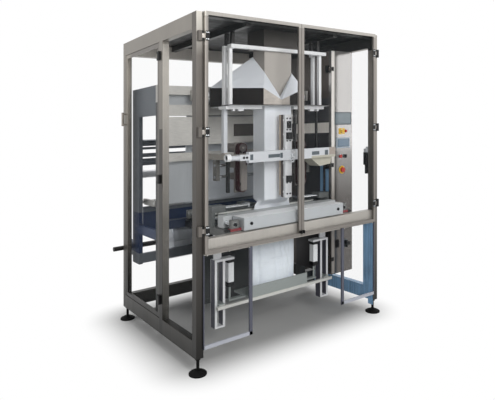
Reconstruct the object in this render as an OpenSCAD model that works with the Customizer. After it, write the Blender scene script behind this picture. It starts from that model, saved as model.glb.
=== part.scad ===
// Vertical form fill sealer in a guard frame, with its film unwinder and control cabinet.
// Millimetres, +Z up, the front faces -Y. The machine stands on its feet at Z = 0.

/* [Guard frame] */
// Width of the guard frame over its posts
frame_w = 1640; // [1620:10:1700]
// Depth of the guard frame over its posts
frame_d = 1190; // [1180:10:1260]
// Height of the guard frame above the floor
frame_h = 2200; // [2180:10:2300]
// Side of the square post tube
post = 50; // [40:5:55]
// Height of the side and rear beams
beam_h = 100; // [80:5:120]
// Height of the front rail under the roof edge
top_rail_h = 25; // [15:5:40]
// Height of the posts' lower ends above the floor
floor_gap = 100; // [85:5:130]
// Lower edge of the front cross beam
front_beam_z = 715; // [700:5:725]
// Distance of the left middle post's centre in front of the frame's centre
mid_post_y = 100; // [60:5:140]
// Thickness of the roof sheet
roof_t = 4; // [2:1:8]
// Side of the two square rails under the roof
roof_rail = 40; // [30:5:50]

/* [Feet and guards] */
// Diameter of a levelling foot's pad
foot_d = 112; // [80:2:140]
// Thickness of the pad's rim
foot_t = 12; // [8:1:20]
// Diameter of the threaded stem
stem_d = 20; // [12:1:24]
// Thickness of the clear guard sheets
sheet_t = 10; // [6:1:12]
// Thickness of the panes in doors and sides
pane_t = 5; // [3:1:8]
// Height of the lower guards' bottom edge
guard_z = 150; // [120:10:250]
// Distance of the lower guards' inner edges from the middle
guard_in = 410; // [360:10:450]
// Diameter of a guard screw's shank
screw_d = 6; // [4:1:8]

/* [Doors] */
// Distance of a front door's outer edge from the middle
door_half = 772; // [765:1:780]
// Gap between the two front doors where they meet
door_meet = 4; // [2:1:8]
// Depth of the door frames
door_t = 23; // [18:1:30]
// Gap between the front doors and the posts
door_gap = 2; // [1:0.5:4]
// Width of the front doors' frame bars
stile = 22; // [18:1:30]
// Width of the side door's frame bars
side_stile = 28; // [22:1:40]
// Height of the doors' rebate that holds the pane
rebate = 6; // [4:1:8]
// Radius of the hinge pins
pin_r = 4; // [3:0.5:5]
// Half height of a hinge
hinge_h = 30; // [24:2:40]
// Radius of a latch knob
knob_r = 11; // [8:1:14]
// How far a latch knob stands out
knob_len = 20; // [15:1:30]

/* [Cabinet] */
// Left side of the control cabinet
cab_x = 556; // [552:1:566]
// Width of the control cabinet
cab_w = 242; // [200:1:242]
// Front of the cabinet's box, behind its door
cab_front = 323; // [300:1:330]
// Depth of the cabinet's box
cab_d = 398; // [380:1:420]
// Lower edge of the cabinet
cab_z = 290; // [260:10:400]
// Distance of the cabinet's upper edge below the frame's top
cab_drop = 100; // [100:5:300]
// Wall of the cabinet's sheet steel
cab_wall = 3; // [2:0.5:5]
// Depth of the cabinet's door
cab_door_t = 27; // [20:1:34]
// Width and height of the upper screen
screen_a = [186, 103]; // [80:1:200]
// Width and height of the lower screen
screen_b = [151, 82]; // [60:1:180]
// Travel of the push buttons
press = 5; // [3:0.5:6]

/* [Forming set] */
// Width of the filling tube
tube_w = 252; // [200:2:260]
// Depth of the filling tube
tube_d = 138; // [100:2:150]
// Distance of the filling tube's centre in front of the frame's centre
tube_y = 290; // [284:1:296]
// Wall of the filling tube
tube_wall = 2; // [1.5:0.5:4]
// Lower end of the filling tube
tube_z = 1047; // [1040:1:1050]
// Width of the product inlet
inlet_w = 312; // [280:2:360]
// Depth of the product inlet
inlet_d = 202; // [170:2:220]
// Height of the product inlet under the roof
inlet_h = 130; // [80:5:140]
// Distance of the shoulder's low point below the frame's top
tip_drop = 499; // [480:1:520]
// Height of the shoulder's edge at the tube's front corners above its low point
crown_front_h = 188; // [150:1:220]
// Height of the shoulder's edge behind the tube above its low point
crown_rear_h = 317; // [260:1:330]
// Half width of the shoulder where the film comes in
entry_half = 450; // [435:5:460]
// Height of the shoulder where the film comes in above its low point
entry_h = 87; // [80:1:100]
// Side of the collar frame's bars
bar = 25; // [18:1:30]
// Distance of the collar frame's uprights from the middle
bar_x = 420; // [412:1:430]
// Distance of the collar frame's foot plate below the shoulder's low point
plate_drop = 57; // [50:1:70]

/* [Film] */
// Width of the film web
film_w = 860; // [700:10:870]
// Thickness that stands for the film
film_t = 1; // [0.6:0.1:1.5]
// Width of the flat bag
bag_w = 410; // [360:10:420]
// Fullness of the bag
bag_d = 110; // [60:5:130]
// Radius of the film roll
roll_r = 155; // [100:5:160]
// Radius of the roll's core
core_r = 38; // [36:1:45]

/* [Sealing] */
// Half width of the vertical seal bar
seal_half = 30; // [20:1:40]
// Depth of the seal bar's body
seal_d = 50; // [40:1:60]
// Depth of the seal bar's heater
heater_d = 26; // [15:1:30]
// Gap between the heater and the film at rest
seal_gap = 42; // [40:1:60]
// Lower end of the seal bar
seal_z = 985; // [960:5:1010]
// Gap between the seal bar's upper end and the foot plate
seal_drop = 66; // [40:1:160]
// Height of the gantry bar's centre
gantry_z = 1291; // [1283:1:1301]
// Height of the gantry bar
gantry_h = 72; // [66:1:86]
// Depth of the gantry bar
gantry_d = 35; // [25:1:45]
// Distance of the gantry arms from the middle
arm_x = 430; // [425:1:440]
// Side of the gantry arms
arm = 40; // [30:1:50]

/* [Pull belts] */
// Radius of the belt pulleys
pulley_r = 29; // [22:1:32]
// Width of the pull belts
belt_w = 45; // [30:1:50]
// Thickness of the pull belts
belt_t = 6; // [4:0.5:8]
// Distance between a belt's pulleys
belt_l = 281; // [240:1:300]
// Height of the lower pulleys
belt_z = 1069; // [1060:1:1090]
// Gap between the belts and the film tube at rest
belt_gap = 120; // [112:1:122]

/* [Jaws] */
// Height of the cut between two bags
cut_z = 860; // [856:1:864]
// Height of the jaw bars
jaw_h = 84; // [80:1:86]
// Half length of the jaw bars
jaw_half = 440; // [420:5:445]
// Depth of the jaw bars
jaw_d = 95; // [80:1:100]
// Distance of each jaw face from the film at rest
jaw_open = 55; // [50:1:60]
// Distance of the front jaw's cover face in front of the film
cover_reach = 285; // [280:1:288]
// Thickness of the knife
knife_t = 3; // [2:0.5:4]
// Radius of the jaws' guide rods
jaw_rod_r = 15; // [12:0.5:16]
// Distance of the jaws' guide rods from the middle
jaw_rod_x = 500; // [495:1:505]

/* [Bag lift] */
// Distance of the lift columns from the middle
lift_x = 490; // [486:1:496]
// Clear gap between the two bars of a column
lift_slot = 46; // [40:1:50]
// Lower end of the lift columns
lift_z = 128; // [120:1:132]
// Upper end of the lift columns
lift_top = 594; // [585:1:640]
// Upper side of the bag trough
trough_z = 300; // [298:1:320]
// Half width of the bag trough
trough_half = 271; // [240:1:310]
// Height of the trough's front lip
lip_h = 70; // [40:1:100]
// Distance of the lift cylinders from the middle
lift_cyl_x = 398; // [385:1:400]

/* [Unwinder] */
// Distance of the reel shaft behind the frame's rear face
reel_out = 45; // [40:1:70]
// Height of the reel shaft
reel_z = 555; // [545:1:565]
// Radius of the reel shaft
reel_r = 20; // [15:1:22]
// Distance of the reel shaft's left end from the middle
shaft_reach = 885; // [840:5:900]
// Radius of the reel shaft's free end
shaft_end_r = 18; // [12:0.5:19]
// Inner distance of the unwinder's side frames from the middle
side_x = 720; // [715:1:725]
// Thickness of the unwinder's side frames
side_t = 30; // [20:1:32]
// Radius of the web rollers
roller_r = 30; // [25:1:32]
// Radius of the driven feed roller
feed_r = 40; // [30:1:45]
// Length of the dancer's arms
dancer_l = 180; // [160:5:190]

/* [Fits] */
// Radial clearance of running fits
fit = 0.05; // [0.02:0.01:0.1]
// Clearance of parts that slide past each other
slide_gap = 0.3; // [0.2:0.1:0.6]

/* [Hidden] */
$fn = 48;

steel = "#8f8b84";
dark_steel = "#3c3b39";
alu = "#d9dbdc";
black = "#1c1c1d";
film = "#e3e7ee";
clear = [0.85, 0.9, 0.95, 0.25];

// Guard frame
hw = frame_w / 2;
hd = frame_d / 2;
in_x = hw - post;
in_y = hd - post;
sill_z = floor_gap + beam_h;
lintel_z = frame_h - beam_h;
beam_top = front_beam_z + beam_h;
rail_z = frame_h - roof_t - roof_rail;
rail_x = 400;

// Doors
door_back = -hd - door_gap;
door_front = door_back - door_t;
guard_top = front_beam_z + 8;
door_z = guard_top + 4;
hinge_out = 12;
hinge_off = 14;
hinge_zs = [door_z + 143, frame_h - 732, frame_h - 150];
latch_z = door_z + 30;
side_y0 = -mid_post_y + post / 2 + 3;
side_y1 = in_y - 3;
side_z0 = sill_z + 3;
side_z1 = lintel_z - 3;
side_hinge_zs = [side_z0 + 129, side_z1 - 940, side_z1 - 94];
side_face = -hw + 2;
side_hinge = [-hw - 10, side_y0 - 1];

// Forming set and film
inlet_z = frame_h - inlet_h;
tip_z = frame_h - tip_drop;
crown_front_z = tip_z + crown_front_h;
crown_rear_z = tip_z + crown_rear_h;
entry_z = tip_z + entry_h;
plate_z = tip_z - plate_drop;
tube_front = -tube_y - tube_d / 2;
tube_rear = -tube_y + tube_d / 2;
film_gap = 0.5;
film_half = tube_w / 2 + film_gap + film_t;
film_front = tube_front - film_gap - film_t;
film_rear = tube_rear + film_gap + film_t;
roof_z = frame_h - roof_t;
collar_gap = 4;
shoulder_t = 12;
entry_y = -135;
wing_reach = [185, 425];
wing_z = entry_z - 20;
bar_y = [-352, -282];
bar_top = inlet_z - 2;
plate_t = 8;
lower_bar_t = 20;
flat_t = 3;
cut_gap = 2;
taper_z = tube_z - 5;

// Main frame
jaw_z = cut_z - 40;
jaw_bar_top = jaw_z;
reel_y = hd + reel_out;
col = 60;
col_x = side_x - 30;
col_y = -cab_front + cab_d;
feed_z = frame_h - 540;
box_z = [feed_z - 54, feed_z + 167];
col_top = box_z[1];
jaw_bar_h = 50;
jaw_bar_half = 40;

// Vertical seal and gantry
seal_l = plate_z - seal_drop - seal_z;
heater_y = film_front - seal_gap;
seal_y = heater_y - heater_d;
seal_face = seal_y - seal_d;
gantry_back = seal_face - 7;
gantry_face = gantry_back - gantry_d;
gantry_x = [-378, arm_x];
guide_pin_r = 8;
guide_pin_dz = 20;
guide_pin_out = 25;
bracket_x = 150;
bracket_back = -319;
bracket_top = gantry_z + 21;

// Pull belts
belt_out = pulley_r + slide_gap + belt_t;
belt_x = film_half + belt_gap + belt_out;
belt_y = -tube_y;
belt_top = belt_z + belt_l;
plate_front = belt_y + belt_w / 2 + 5;
belt_plate_t = 12;
plate_back = plate_front + belt_plate_t;
belt_rod_r = 10;
belt_rod_y = plate_back + 60;
belt_rod_zs = [1145, 1228];
bearing_half = 22;
pulley_pin_r = 8;

// Jaws
film_y = -tube_y;
jaw_rod_z = cut_z + 2;
jaw_top = jaw_z + jaw_h;
front_face = film_y - jaw_open;
rear_face = film_y + jaw_open;
cover_front = film_y - cover_reach;
cover_wall = 6;
cover_half = jaw_half + 15;
lug_d = 70;
lug_out = jaw_rod_x + jaw_rod_r + 7;
rod_end_y = -in_y + 5;
block_d = 30;
knife_half = 300;
knife_back = 90;
knife_rod_r = 6;
jaw_rod_piston_r = 10;
pusher_z = jaw_top + 36;
pusher_tip = 232;
pusher_rod_r = 8;
pusher_cyl = [440, 548];

// Bag lift
lift_y = -308;
lift_bar = 18;
lift_depth = 58;
lift_d = 30;
cross_bar = 20;
trough_t = 12;
trough_front = -377;
trough_rear = -180;
lift_cyl_y = -313;
lift_cyl_z = 392;
lift_cyl_h = 22;
lift_rod_r = 8;

// Unwinder: web rollers as [y, z], in the order that the film meets them
idler_at = [reel_y - 120, 1150];
dancer_pivot = [reel_y - 130, 930];
dancer_at = dancer_pivot - [dancer_l, 0];
feed_at = [col_y + 145, feed_z];
entry_at = [-100, entry_z - 48];
roller_half = side_x - 20;
axle_r = 10;
axle_in = 15;
web_gap = 0.5;
entry_bracket_x = 485;
entry_r = 25;

// Film path: each roller is [centre, radius of the film's middle, side], side 1 where the
// roller lies on the left of the moving film and -1 where it lies on the right
lay = web_gap + film_t / 2;
web = [
    [[reel_y, reel_z], roll_r + lay, -1],
    [idler_at, roller_r + lay, 1],
    [dancer_at, roller_r + lay, -1],
    [feed_at, feed_r + lay, 1],
    [entry_at, entry_r + lay, -1],
    [[entry_y + 2 * lay, entry_z], 0, 1]];

// Heading of the straight run from roller a to roller b, from sin(bearing - heading) =
// (side_b r_b - side_a r_a) / distance
function heading(a, b) = let (d = b[0] - a[0])
    atan2(d.y, d.x) - asin((b[2] * b[1] - a[2] * a[1]) / norm(d));
function left_of(h) = [-sin(h), cos(h)];
// Turn from heading h0 to h1 on the roller's own side, in degrees
function turn(h0, h1, side) = let (t = (h1 - h0) % 360) side * t < 0 ? t + side * 360 : t;
arc_n = 8;
runs = [for (i = [0:len(web) - 2]) heading(web[i], web[i + 1])];
// Film line as [point, heading] pairs
web_line = [
    [web[0][0] - web[0][2] * web[0][1] * left_of(runs[0]), runs[0]],
    for (i = [1:len(web) - 2], k = [0:arc_n])
        let (h = runs[i - 1] + turn(runs[i - 1], runs[i], web[i][2]) * k / arc_n)
            [web[i][0] - web[i][2] * web[i][1] * left_of(h), h],
    [web[len(web) - 1][0], runs[len(runs) - 1]]];

// The model's reach each way from the frame's centre, which sets the base's centre
foot_reach = hw - post / 2 + foot_d / 2;
reach = [shaft_reach, foot_reach, -door_front + knob_len, reel_y + roll_r];
module stand() {
    translate([(reach[0] - reach[1]) / 2, (reach[2] - reach[3]) / 2, 0]) children();
}

// Box between two opposite corners
module box(a, b) {
    translate(a) cube(b - a);
}
// Flat rectangle between two opposite corners
module plate(a, b) {
    translate(a) square(b - a);
}
// The children and their mirror image on the other side of the machine
module both() {
    children();
    mirror([1, 0, 0]) children();
}
module rod_x(x0, x1, at, r) {
    translate([x0, at.x, at.y]) rotate([0, 90, 0]) cylinder(h = x1 - x0, r = r);
}
module rod_y(y0, y1, at, r) {
    translate([at.x, y0, at.y]) rotate([-90, 0, 0]) cylinder(h = y1 - y0, r = r);
}
module rod_z(z0, z1, at, r) {
    translate([at.x, at.y, z0]) cylinder(h = z1 - z0, r = r);
}
// A flat shape drawn in (y, z), carried along X between x0 and x1
module along_x(x0, x1) {
    translate([x0, 0, 0]) rotate([90, 0, 90]) linear_extrude(x1 - x0) children();
}
// A flat shape drawn in (x, z), carried along Y between y0 and y1
module along_y(y0, y1) {
    translate([0, y1, 0]) rotate([90, 0, 0]) linear_extrude(y1 - y0) children();
}

module guard_frame() {
    color(steel) {
        both() {
            for (y = [-hd, in_y]) box([in_x, y, floor_gap], [hw, y + post, frame_h]);
            for (z = [floor_gap, lintel_z]) box([in_x, -in_y, z], [hw, in_y, z + beam_h]);
            box([rail_x - roof_rail / 2, -in_y, rail_z], [rail_x + roof_rail / 2, in_y, roof_z]);
        }
        box([-hw, -mid_post_y - post / 2, sill_z], [-in_x, -mid_post_y + post / 2, lintel_z]);
        box([-in_x, -hd, front_beam_z], [in_x, -in_y, beam_top]);
        box([-in_x, -hd, frame_h - top_rail_h], [in_x, -in_y, frame_h]);
        for (z = [floor_gap, lintel_z]) box([-in_x, in_y, z], [in_x, hd, z + beam_h]);
    }
}

module roof_panel() {
    color(dark_steel) difference() {
        box([-in_x, -in_y, roof_z], [in_x, in_y, frame_h]);
        box([-inlet_w / 2, -tube_y - inlet_d / 2, roof_z - 1],
            [inlet_w / 2, -tube_y + inlet_d / 2, frame_h + 1]);
    }
}

// Round rubber pad on a threaded stem, with a lock nut under the post
module foot() {
    nut_t = 12;
    rotate_extrude() polygon([[0, 0], [foot_d / 2, 0], [foot_d / 2, foot_t * 0.6],
        [foot_d / 2 - 6, foot_t], [stem_d, foot_t + 14], [0, foot_t + 14]]);
    cylinder(h = floor_gap, d = stem_d);
    translate([0, 0, floor_gap - nut_t]) cylinder(h = nut_t, d = stem_d * 1.8, $fn = 6);
}

module levelling_feet() {
    color(black) both() for (y = [-1, 1])
        translate([hw - post / 2, y * (hd - post / 2), 0]) foot();
}

// Fixed clear sheets: the lower front guards and the panes of the two sides
module guard_panes() {
    pane_x = hw - 12;
    color(clear) {
        both() difference() {
            box([guard_in, -hd - sheet_t, guard_z], [in_x + 5, -hd, guard_top]);
            for (x = guard_screw_x)
                rod_y(-hd - sheet_t - 1, -hd + 1, [x, guard_screw_z], screw_d / 2 + fit);
        }
        box([-pane_x, -in_y, sill_z], [-pane_x + pane_t, -mid_post_y - post / 2, lintel_z]);
        box([pane_x - pane_t, -in_y, sill_z], [pane_x, in_y, lintel_z]);
    }
}
guard_screw_z = front_beam_z + 3.5;
guard_screw_x = [guard_in + 25, (guard_in + in_x) / 2, in_x - 20];

// Cap screws that hold the lower guards to the front beam
module guard_screws() {
    head_t = 4;
    color("silver") both() for (x = guard_screw_x) {
        rod_y(-hd - sheet_t, -hd, [x, guard_screw_z], screw_d / 2);
        rod_y(-hd - sheet_t - head_t, -hd - sheet_t, [x, guard_screw_z], screw_d * 0.58);
    }
}

// Fixed half of a hinge about Z at the origin, on a face that lies at y = off, with its block
// start beside the pin
module hinge_base(off, start) {
    knuckle = 2 * pin_r;
    inner = hinge_h * 0.46;
    box([-start - 22, -9, -hinge_h], [-start, off, hinge_h]);
    for (z = [-hinge_h, inner]) {
        translate([0, 0, z]) cylinder(h = hinge_h - inner, r = knuckle);
        box([-start - 2, -5, z], [0, 5, z + hinge_h - inner]);
    }
    translate([0, 0, -hinge_h]) cylinder(h = 2 * hinge_h, r = pin_r);
}
// Moving half of the hinge, with a leaf from (x0, y0) to (x1, y1)
module hinge_leaf(x0, y0, x1, y1) {
    half = hinge_h * 0.46 - slide_gap;
    difference() {
        union() {
            translate([0, 0, -half]) cylinder(h = 2 * half, r = 2 * pin_r);
            box([x0, y0, -half], [x1, y1, half]);
        }
        translate([0, 0, -half - 1]) cylinder(h = 2 * half + 2, r = pin_r + fit);
    }
}

// Fixed hinge halves on the posts, and the safety switch on the front right post
module door_fittings() {
    start = 2 * pin_r + 0.5;
    switch_z = [1100, 1170, 1270];
    color(black) {
        both() for (z = hinge_zs)
            translate([-door_half - hinge_out, -hd - hinge_off, z]) hinge_base(hinge_off, start);
        for (z = side_hinge_zs) translate([side_hinge.x, side_hinge.y, z])
            mirror([1, -1, 0]) hinge_base(-hw - side_hinge.x, start);
        for (z = cab_hinge_zs) translate([cab_hinge.x, cab_hinge.y, z])
            rotate([0, 0, -90]) hinge_base(cab_x - cab_hinge.x, cab_door_t / 2 + 0.5);
        box([in_x - 18, -in_y, switch_z[1]], [in_x + 18, -in_y + 32, switch_z[2]]);
        box([in_x - 12, -in_y, switch_z[0]], [in_x + 12, -in_y + 22, switch_z[1]]);
    }
}

// Columns behind the film on legs set inwards, with cross bars, two plates, the bars that carry
// the jaws and the brackets of the roller in front of the shoulder
module main_frame() {
    cross_zs = [[jaw_bar_top - jaw_bar_h, jaw_bar_top + 10], [gantry_z - 30, gantry_z + 30],
        [feed_z - 282, feed_z - 228], [feed_z - 129, feed_z - 70], [feed_z - 60, feed_z + 20],
        [entry_at.y + 15, entry_at.y + 80]];
    lower_half = 440;
    leg_x = col_x - 90;
    window = 105;
    color("#9a9c9d") {
        both() {
            box([col_x, col_y, jaw_bar_top - jaw_bar_h], [col_x + col, col_y + col, col_top]);
            box([jaw_rod_x - jaw_bar_half, -in_y, jaw_bar_top - jaw_bar_h],
                [jaw_rod_x + jaw_bar_half, col_y, jaw_bar_top]);
            for (y = [rod_end_y, col_y - block_d]) difference() {
                box([jaw_rod_x - 30, y, jaw_bar_top], [jaw_rod_x + 30, y + block_d, jaw_rod_z + 30]);
                rod_y(y - 1, y + block_d + 1, [jaw_rod_x, jaw_rod_z], jaw_rod_r + fit);
            }
            difference() {
                box([entry_bracket_x, entry_at.x - 30, entry_at.y - 30],
                    [entry_bracket_x + 15, col_y, entry_at.y + 50]);
                rod_x(entry_bracket_x - 1, entry_bracket_x + 16, entry_at, axle_r + fit);
            }
        }
        for (x = [-col_x - col, leg_x]) box([x, col_y, floor_gap], [x + col, col_y + col, jaw_bar_top]);
        box([-in_x, col_y, floor_gap], [-col_x - col, col_y + col, sill_z]);
        box([leg_x + col, col_y, floor_gap], [in_x, col_y + col, sill_z]);
        for (z = cross_zs) box([-col_x, col_y, z[0]], [col_x, col_y + col, z[1]]);
        box([-lower_half, col_y, floor_gap + 50], [lower_half, col_y + 6, jaw_bar_top]);
        box([-col_x, col_y, feed_z - 229], [-window, col_y + 6, feed_z - 128]);
    }
}

// Ground rods: two along Y for the jaws, two along X for the belt carriages
module guide_rods() {
    color("#c9ccce") {
        both() rod_y(rod_end_y, col_y, [jaw_rod_x, jaw_rod_z], jaw_rod_r);
        for (z = belt_rod_zs) rod_x(-arm_x - 15, arm_x + 15, [belt_rod_y, z], belt_rod_r);
    }
}

// Air cylinders that drive the jaws, the gusset pushers and the bag lift
module air_cylinders() {
    jaw_cyl = 70;
    jaw_cyl_y = -60;
    half = 40;
    color("#e6e7e8") {
        difference() {
            box([-jaw_cyl / 2, jaw_cyl_y, jaw_rod_z - jaw_cyl / 2],
                [jaw_cyl / 2, col_y + col, jaw_rod_z + jaw_cyl / 2]);
            box([-jaw_cyl, col_y, jaw_bar_top - jaw_bar_h], [jaw_cyl, col_y + col + 1, jaw_bar_top + 10]);
            rod_y(jaw_cyl_y - 1, col_y - 20, [0, jaw_rod_z], jaw_rod_piston_r + fit);
        }
        both() {
            difference() {
                union() {
                    box([pusher_cyl[0], film_y - half, pusher_z - 21],
                        [pusher_cyl[1], film_y + half, pusher_z + 20]);
                    box([lug_out + 4, film_y - half, jaw_bar_top],
                        [pusher_cyl[1], film_y + half, pusher_z - 21]);
                }
                for (y = [-half, half] / 2)
                    rod_x(pusher_cyl[0] - 1, pusher_cyl[1] - 10, [film_y + y, pusher_z], pusher_rod_r + fit);
            }
            difference() {
                box([lift_cyl_x - lift_cyl_h, lift_cyl_y - lift_cyl_h, lift_cyl_z],
                    [lift_cyl_x + lift_cyl_h, lift_cyl_y + lift_cyl_h, lift_top - lift_d / 2]);
                rod_z(lift_cyl_z - 1, lift_top - 30, [lift_cyl_x, lift_cyl_y], lift_rod_r + fit);
            }
        }
    }
}

// Square product inlet under the roof and the filling tube below it
module fill_tube() {
    floor_t = 4;
    color("#a8a49c") difference() {
        union() {
            box([-inlet_w / 2, -tube_y - inlet_d / 2, inlet_z],
                [inlet_w / 2, -tube_y + inlet_d / 2, frame_h]);
            box([-tube_w / 2, tube_front, tube_z], [tube_w / 2, tube_rear, inlet_z]);
        }
        box([-inlet_w / 2 + tube_wall, -tube_y - inlet_d / 2 + tube_wall, inlet_z + floor_t],
            [inlet_w / 2 - tube_wall, -tube_y + inlet_d / 2 - tube_wall, frame_h + 1]);
        box([-tube_w / 2 + tube_wall, tube_front + tube_wall, tube_z - 1],
            [tube_w / 2 - tube_wall, tube_rear - tube_wall, inlet_z + floor_t + 1]);
    }
}

// Shell between an inner and an outer loop of points, with its underside at the second pair
module ring_shell(inner, outer, inner_low, outer_low) {
    n = len(inner);
    function next(i) = (i + 1) % n;
    polyhedron(concat(inner, outer, inner_low, outer_low), [
        for (i = [0:n - 1]) each let (j = next(i)) [
            [i, n + i, n + j], [i, n + j, j],
            [2 * n + i, 3 * n + j, 3 * n + i], [2 * n + i, 2 * n + j, 3 * n + j],
            [n + i, 3 * n + i, 3 * n + j], [n + i, 3 * n + j, n + j],
            [i, j, 2 * n + j], [i, 2 * n + j, 2 * n + i]]]);
}
function down(loop, h) = [for (p = loop) p - [0, 0, h]];
function at_z(loop, z) = [for (p = loop) [p.x, p.y, z]];
function inward(loop, k) = [for (p = loop) [p.x * k, -tube_y + (p.y + tube_y) * k, p.z]];

// Sheet shoulder that folds the flat film round the tube, on its dark base
shoulder_x = tube_w / 2 + collar_gap;
crown = [
    [shoulder_x, tube_rear + collar_gap, crown_rear_z],
    [shoulder_x, tube_front - collar_gap, crown_front_z],
    [0, tube_front - collar_gap - 9, tip_z],
    [-shoulder_x, tube_front - collar_gap, crown_front_z],
    [-shoulder_x, tube_rear + collar_gap, crown_rear_z]];
skirt = [
    [entry_half, entry_y, entry_z],
    [wing_reach.x, -wing_reach.y, wing_z],
    [0, -400, tip_z - 11],
    [-wing_reach.x, -wing_reach.y, wing_z],
    [-entry_half, entry_y, entry_z]];
module forming_shoulder() {
    base_top = down(skirt, shoulder_t / 2);
    base_in = inward(base_top, 0.98);
    foot_z = plate_z + plate_t;
    color(dark_steel) {
        ring_shell(crown, skirt, down(crown, shoulder_t), down(skirt, shoulder_t));
        ring_shell(base_in, base_top, at_z(base_in, foot_z), at_z(base_top, foot_z));
    }
}

// Square bars that hang the shoulder's foot plate from the roof rails
module collar_frame() {
    hole = 3;
    color("#f0f0ee") {
        both() {
            for (y = bar_y) {
                box([bar_x - bar / 2, y - bar / 2, plate_z], [bar_x + bar / 2, y + bar / 2, bar_top]);
                box([rail_x - bar / 2, y - bar / 2, bar_top - bar], [bar_x, y + bar / 2, bar_top]);
                box([rail_x - bar / 2, y - bar / 2, bar_top], [rail_x + bar / 2, y + bar / 2, rail_z]);
            }
            box([film_half + 22, bar_y[0] - bar / 2, plate_z - lower_bar_t],
                [bar_x + bar / 2 + 28, bar_y[1] + bar / 2, plate_z]);
        }
        box([-bar_x - bar / 2, bar_y[0] - 1.5 * bar, bar_top - bar],
            [bar_x + 40, bar_y[0] - bar / 2 + 1, bar_top]);
        difference() {
            box([-entry_half, -wing_reach.y - 5, plate_z], [entry_half, entry_y + 10, plate_z + plate_t]);
            box([-film_half - hole, film_front - hole, plate_z - 1],
                [film_half + hole, film_rear + hole, plate_z + plate_t + 1]);
        }
    }
}

// Film round the filling tube, drawn flat between the open jaws
module film_tube() {
    in_half = film_half - film_t;
    in_d = film_rear - film_front - 2 * film_t;
    flat_z = jaw_top + 10;
    color(film) {
        difference() {
            box([-film_half, film_front, taper_z], [film_half, film_rear, tip_z - 14]);
            box([-in_half, film_front + film_t, taper_z - 1], [in_half, film_rear - film_t, tip_z]);
        }
        difference() {
            hull() {
                box([-film_half, film_front, taper_z], [film_half, film_rear, taper_z + 1]);
                box([-bag_w / 2, film_y - flat_t / 2, flat_z],
                    [bag_w / 2, film_y + flat_t / 2, flat_z + 1]);
            }
            hull() {
                translate([0, film_y, taper_z + 1]) cube([2 * in_half, in_d, 2], center = true);
                translate([0, film_y, flat_z + 12]) cube([bag_w - 60, 1, 1], center = true);
            }
        }
        box([-bag_w / 2, film_y - flat_t / 2, cut_z + cut_gap], [bag_w / 2, film_y + flat_t / 2, flat_z]);
    }
}

// Filled bag below the cut, standing in the trough
module bag() {
    seal_low = jaw_z - 25;
    round_r = bag_d / 2;
    full_h = seal_low - trough_z - 190;
    color(film) {
        box([-bag_w / 2, film_y - flat_t / 2, seal_low],
            [bag_w / 2, film_y + flat_t / 2, cut_z - cut_gap]);
        hull() {
            box([-bag_w / 2, film_y - flat_t / 2, seal_low - 1],
                [bag_w / 2, film_y + flat_t / 2, seal_low]);
            for (x = [-1, 1])
                translate([x * (bag_w / 2 - round_r - 8), film_y, trough_z + slide_gap])
                    cylinder(h = full_h, r = round_r, $fn = 32);
        }
    }
}

// Bar across the front that guides the vertical seal, with its arms, bracket and clamp
module gantry() {
    low = gantry_z - gantry_h / 2;
    high = gantry_z + gantry_h / 2;
    color(alu) {
        difference() {
            box([gantry_x[0], gantry_face, low], [gantry_x[1], gantry_back, high]);
            for (s = [-1, 1])
                rod_y(gantry_face - 1, gantry_back + 1, [0, gantry_z + s * guide_pin_dz], guide_pin_r + fit);
        }
        both() {
            box([arm_x - arm / 2, gantry_back, gantry_z - arm / 2],
                [arm_x + arm / 2, col_y, gantry_z + arm / 2]);
            difference() {
                box([arm_x - 15, belt_rod_y - 22, belt_rod_zs[0] - 25],
                    [arm_x + 15, belt_rod_y + 22, gantry_z - arm / 2]);
                for (z = belt_rod_zs) rod_x(arm_x - 16, arm_x + 16, [belt_rod_y, z], belt_rod_r + fit);
            }
        }
        box([-arm_x - arm / 2, gantry_face, gantry_z - arm / 2],
            [gantry_x[0], gantry_back, gantry_z + arm / 2]);
        rod_x(-arm_x - 110, -arm_x - arm / 2, [gantry_back - gantry_d / 2, gantry_z], 17);
        box([-bar_x - 15, bar_y[1] - 15, gantry_z], [-bar_x + 15, bar_y[1] + 15, plate_z - lower_bar_t]);
        box([bracket_x, gantry_back, gantry_z - 25], [arm_x, bracket_back, bracket_top]);
        along_y(gantry_back, bracket_back - 60)
            polygon([[bracket_x + 40, gantry_z - 25], [arm_x, gantry_z - 25], [arm_x - 20, gantry_z - 90],
                [bracket_x + 150, gantry_z - 102]]);
    }
}

// Black rods between the gantry's bracket and the collar frame
module hanger_rods() {
    color(black) for (x = [bracket_x + 34, arm_x - 21])
        rod_z(bracket_top, plate_z - lower_bar_t, [x, bracket_back - 12], 11);
}

// Slotted columns that guide the bag lift, hung from the jaw bars
module lift_columns() {
    out = lift_slot / 2 + lift_bar;
    front = lift_y - lift_depth / 2;
    back = lift_y + lift_depth / 2;
    color("#cfd1d2") both() {
        for (x = [lift_x - out, lift_x + lift_slot / 2])
            box([x, front, lift_z + 6], [x + lift_bar, back, lift_top - 6]);
        box([lift_x - out, front, lift_z], [lift_x + out, back, lift_z + 12]);
        box([lift_cyl_x - 25, front, lift_top - lift_d / 2], [lift_x + out, back, lift_top]);
        box([lift_x - 25, lift_y - 6, lift_top], [lift_x + 35, lift_y + 6, jaw_bar_top - jaw_bar_h]);
    }
}

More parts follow.
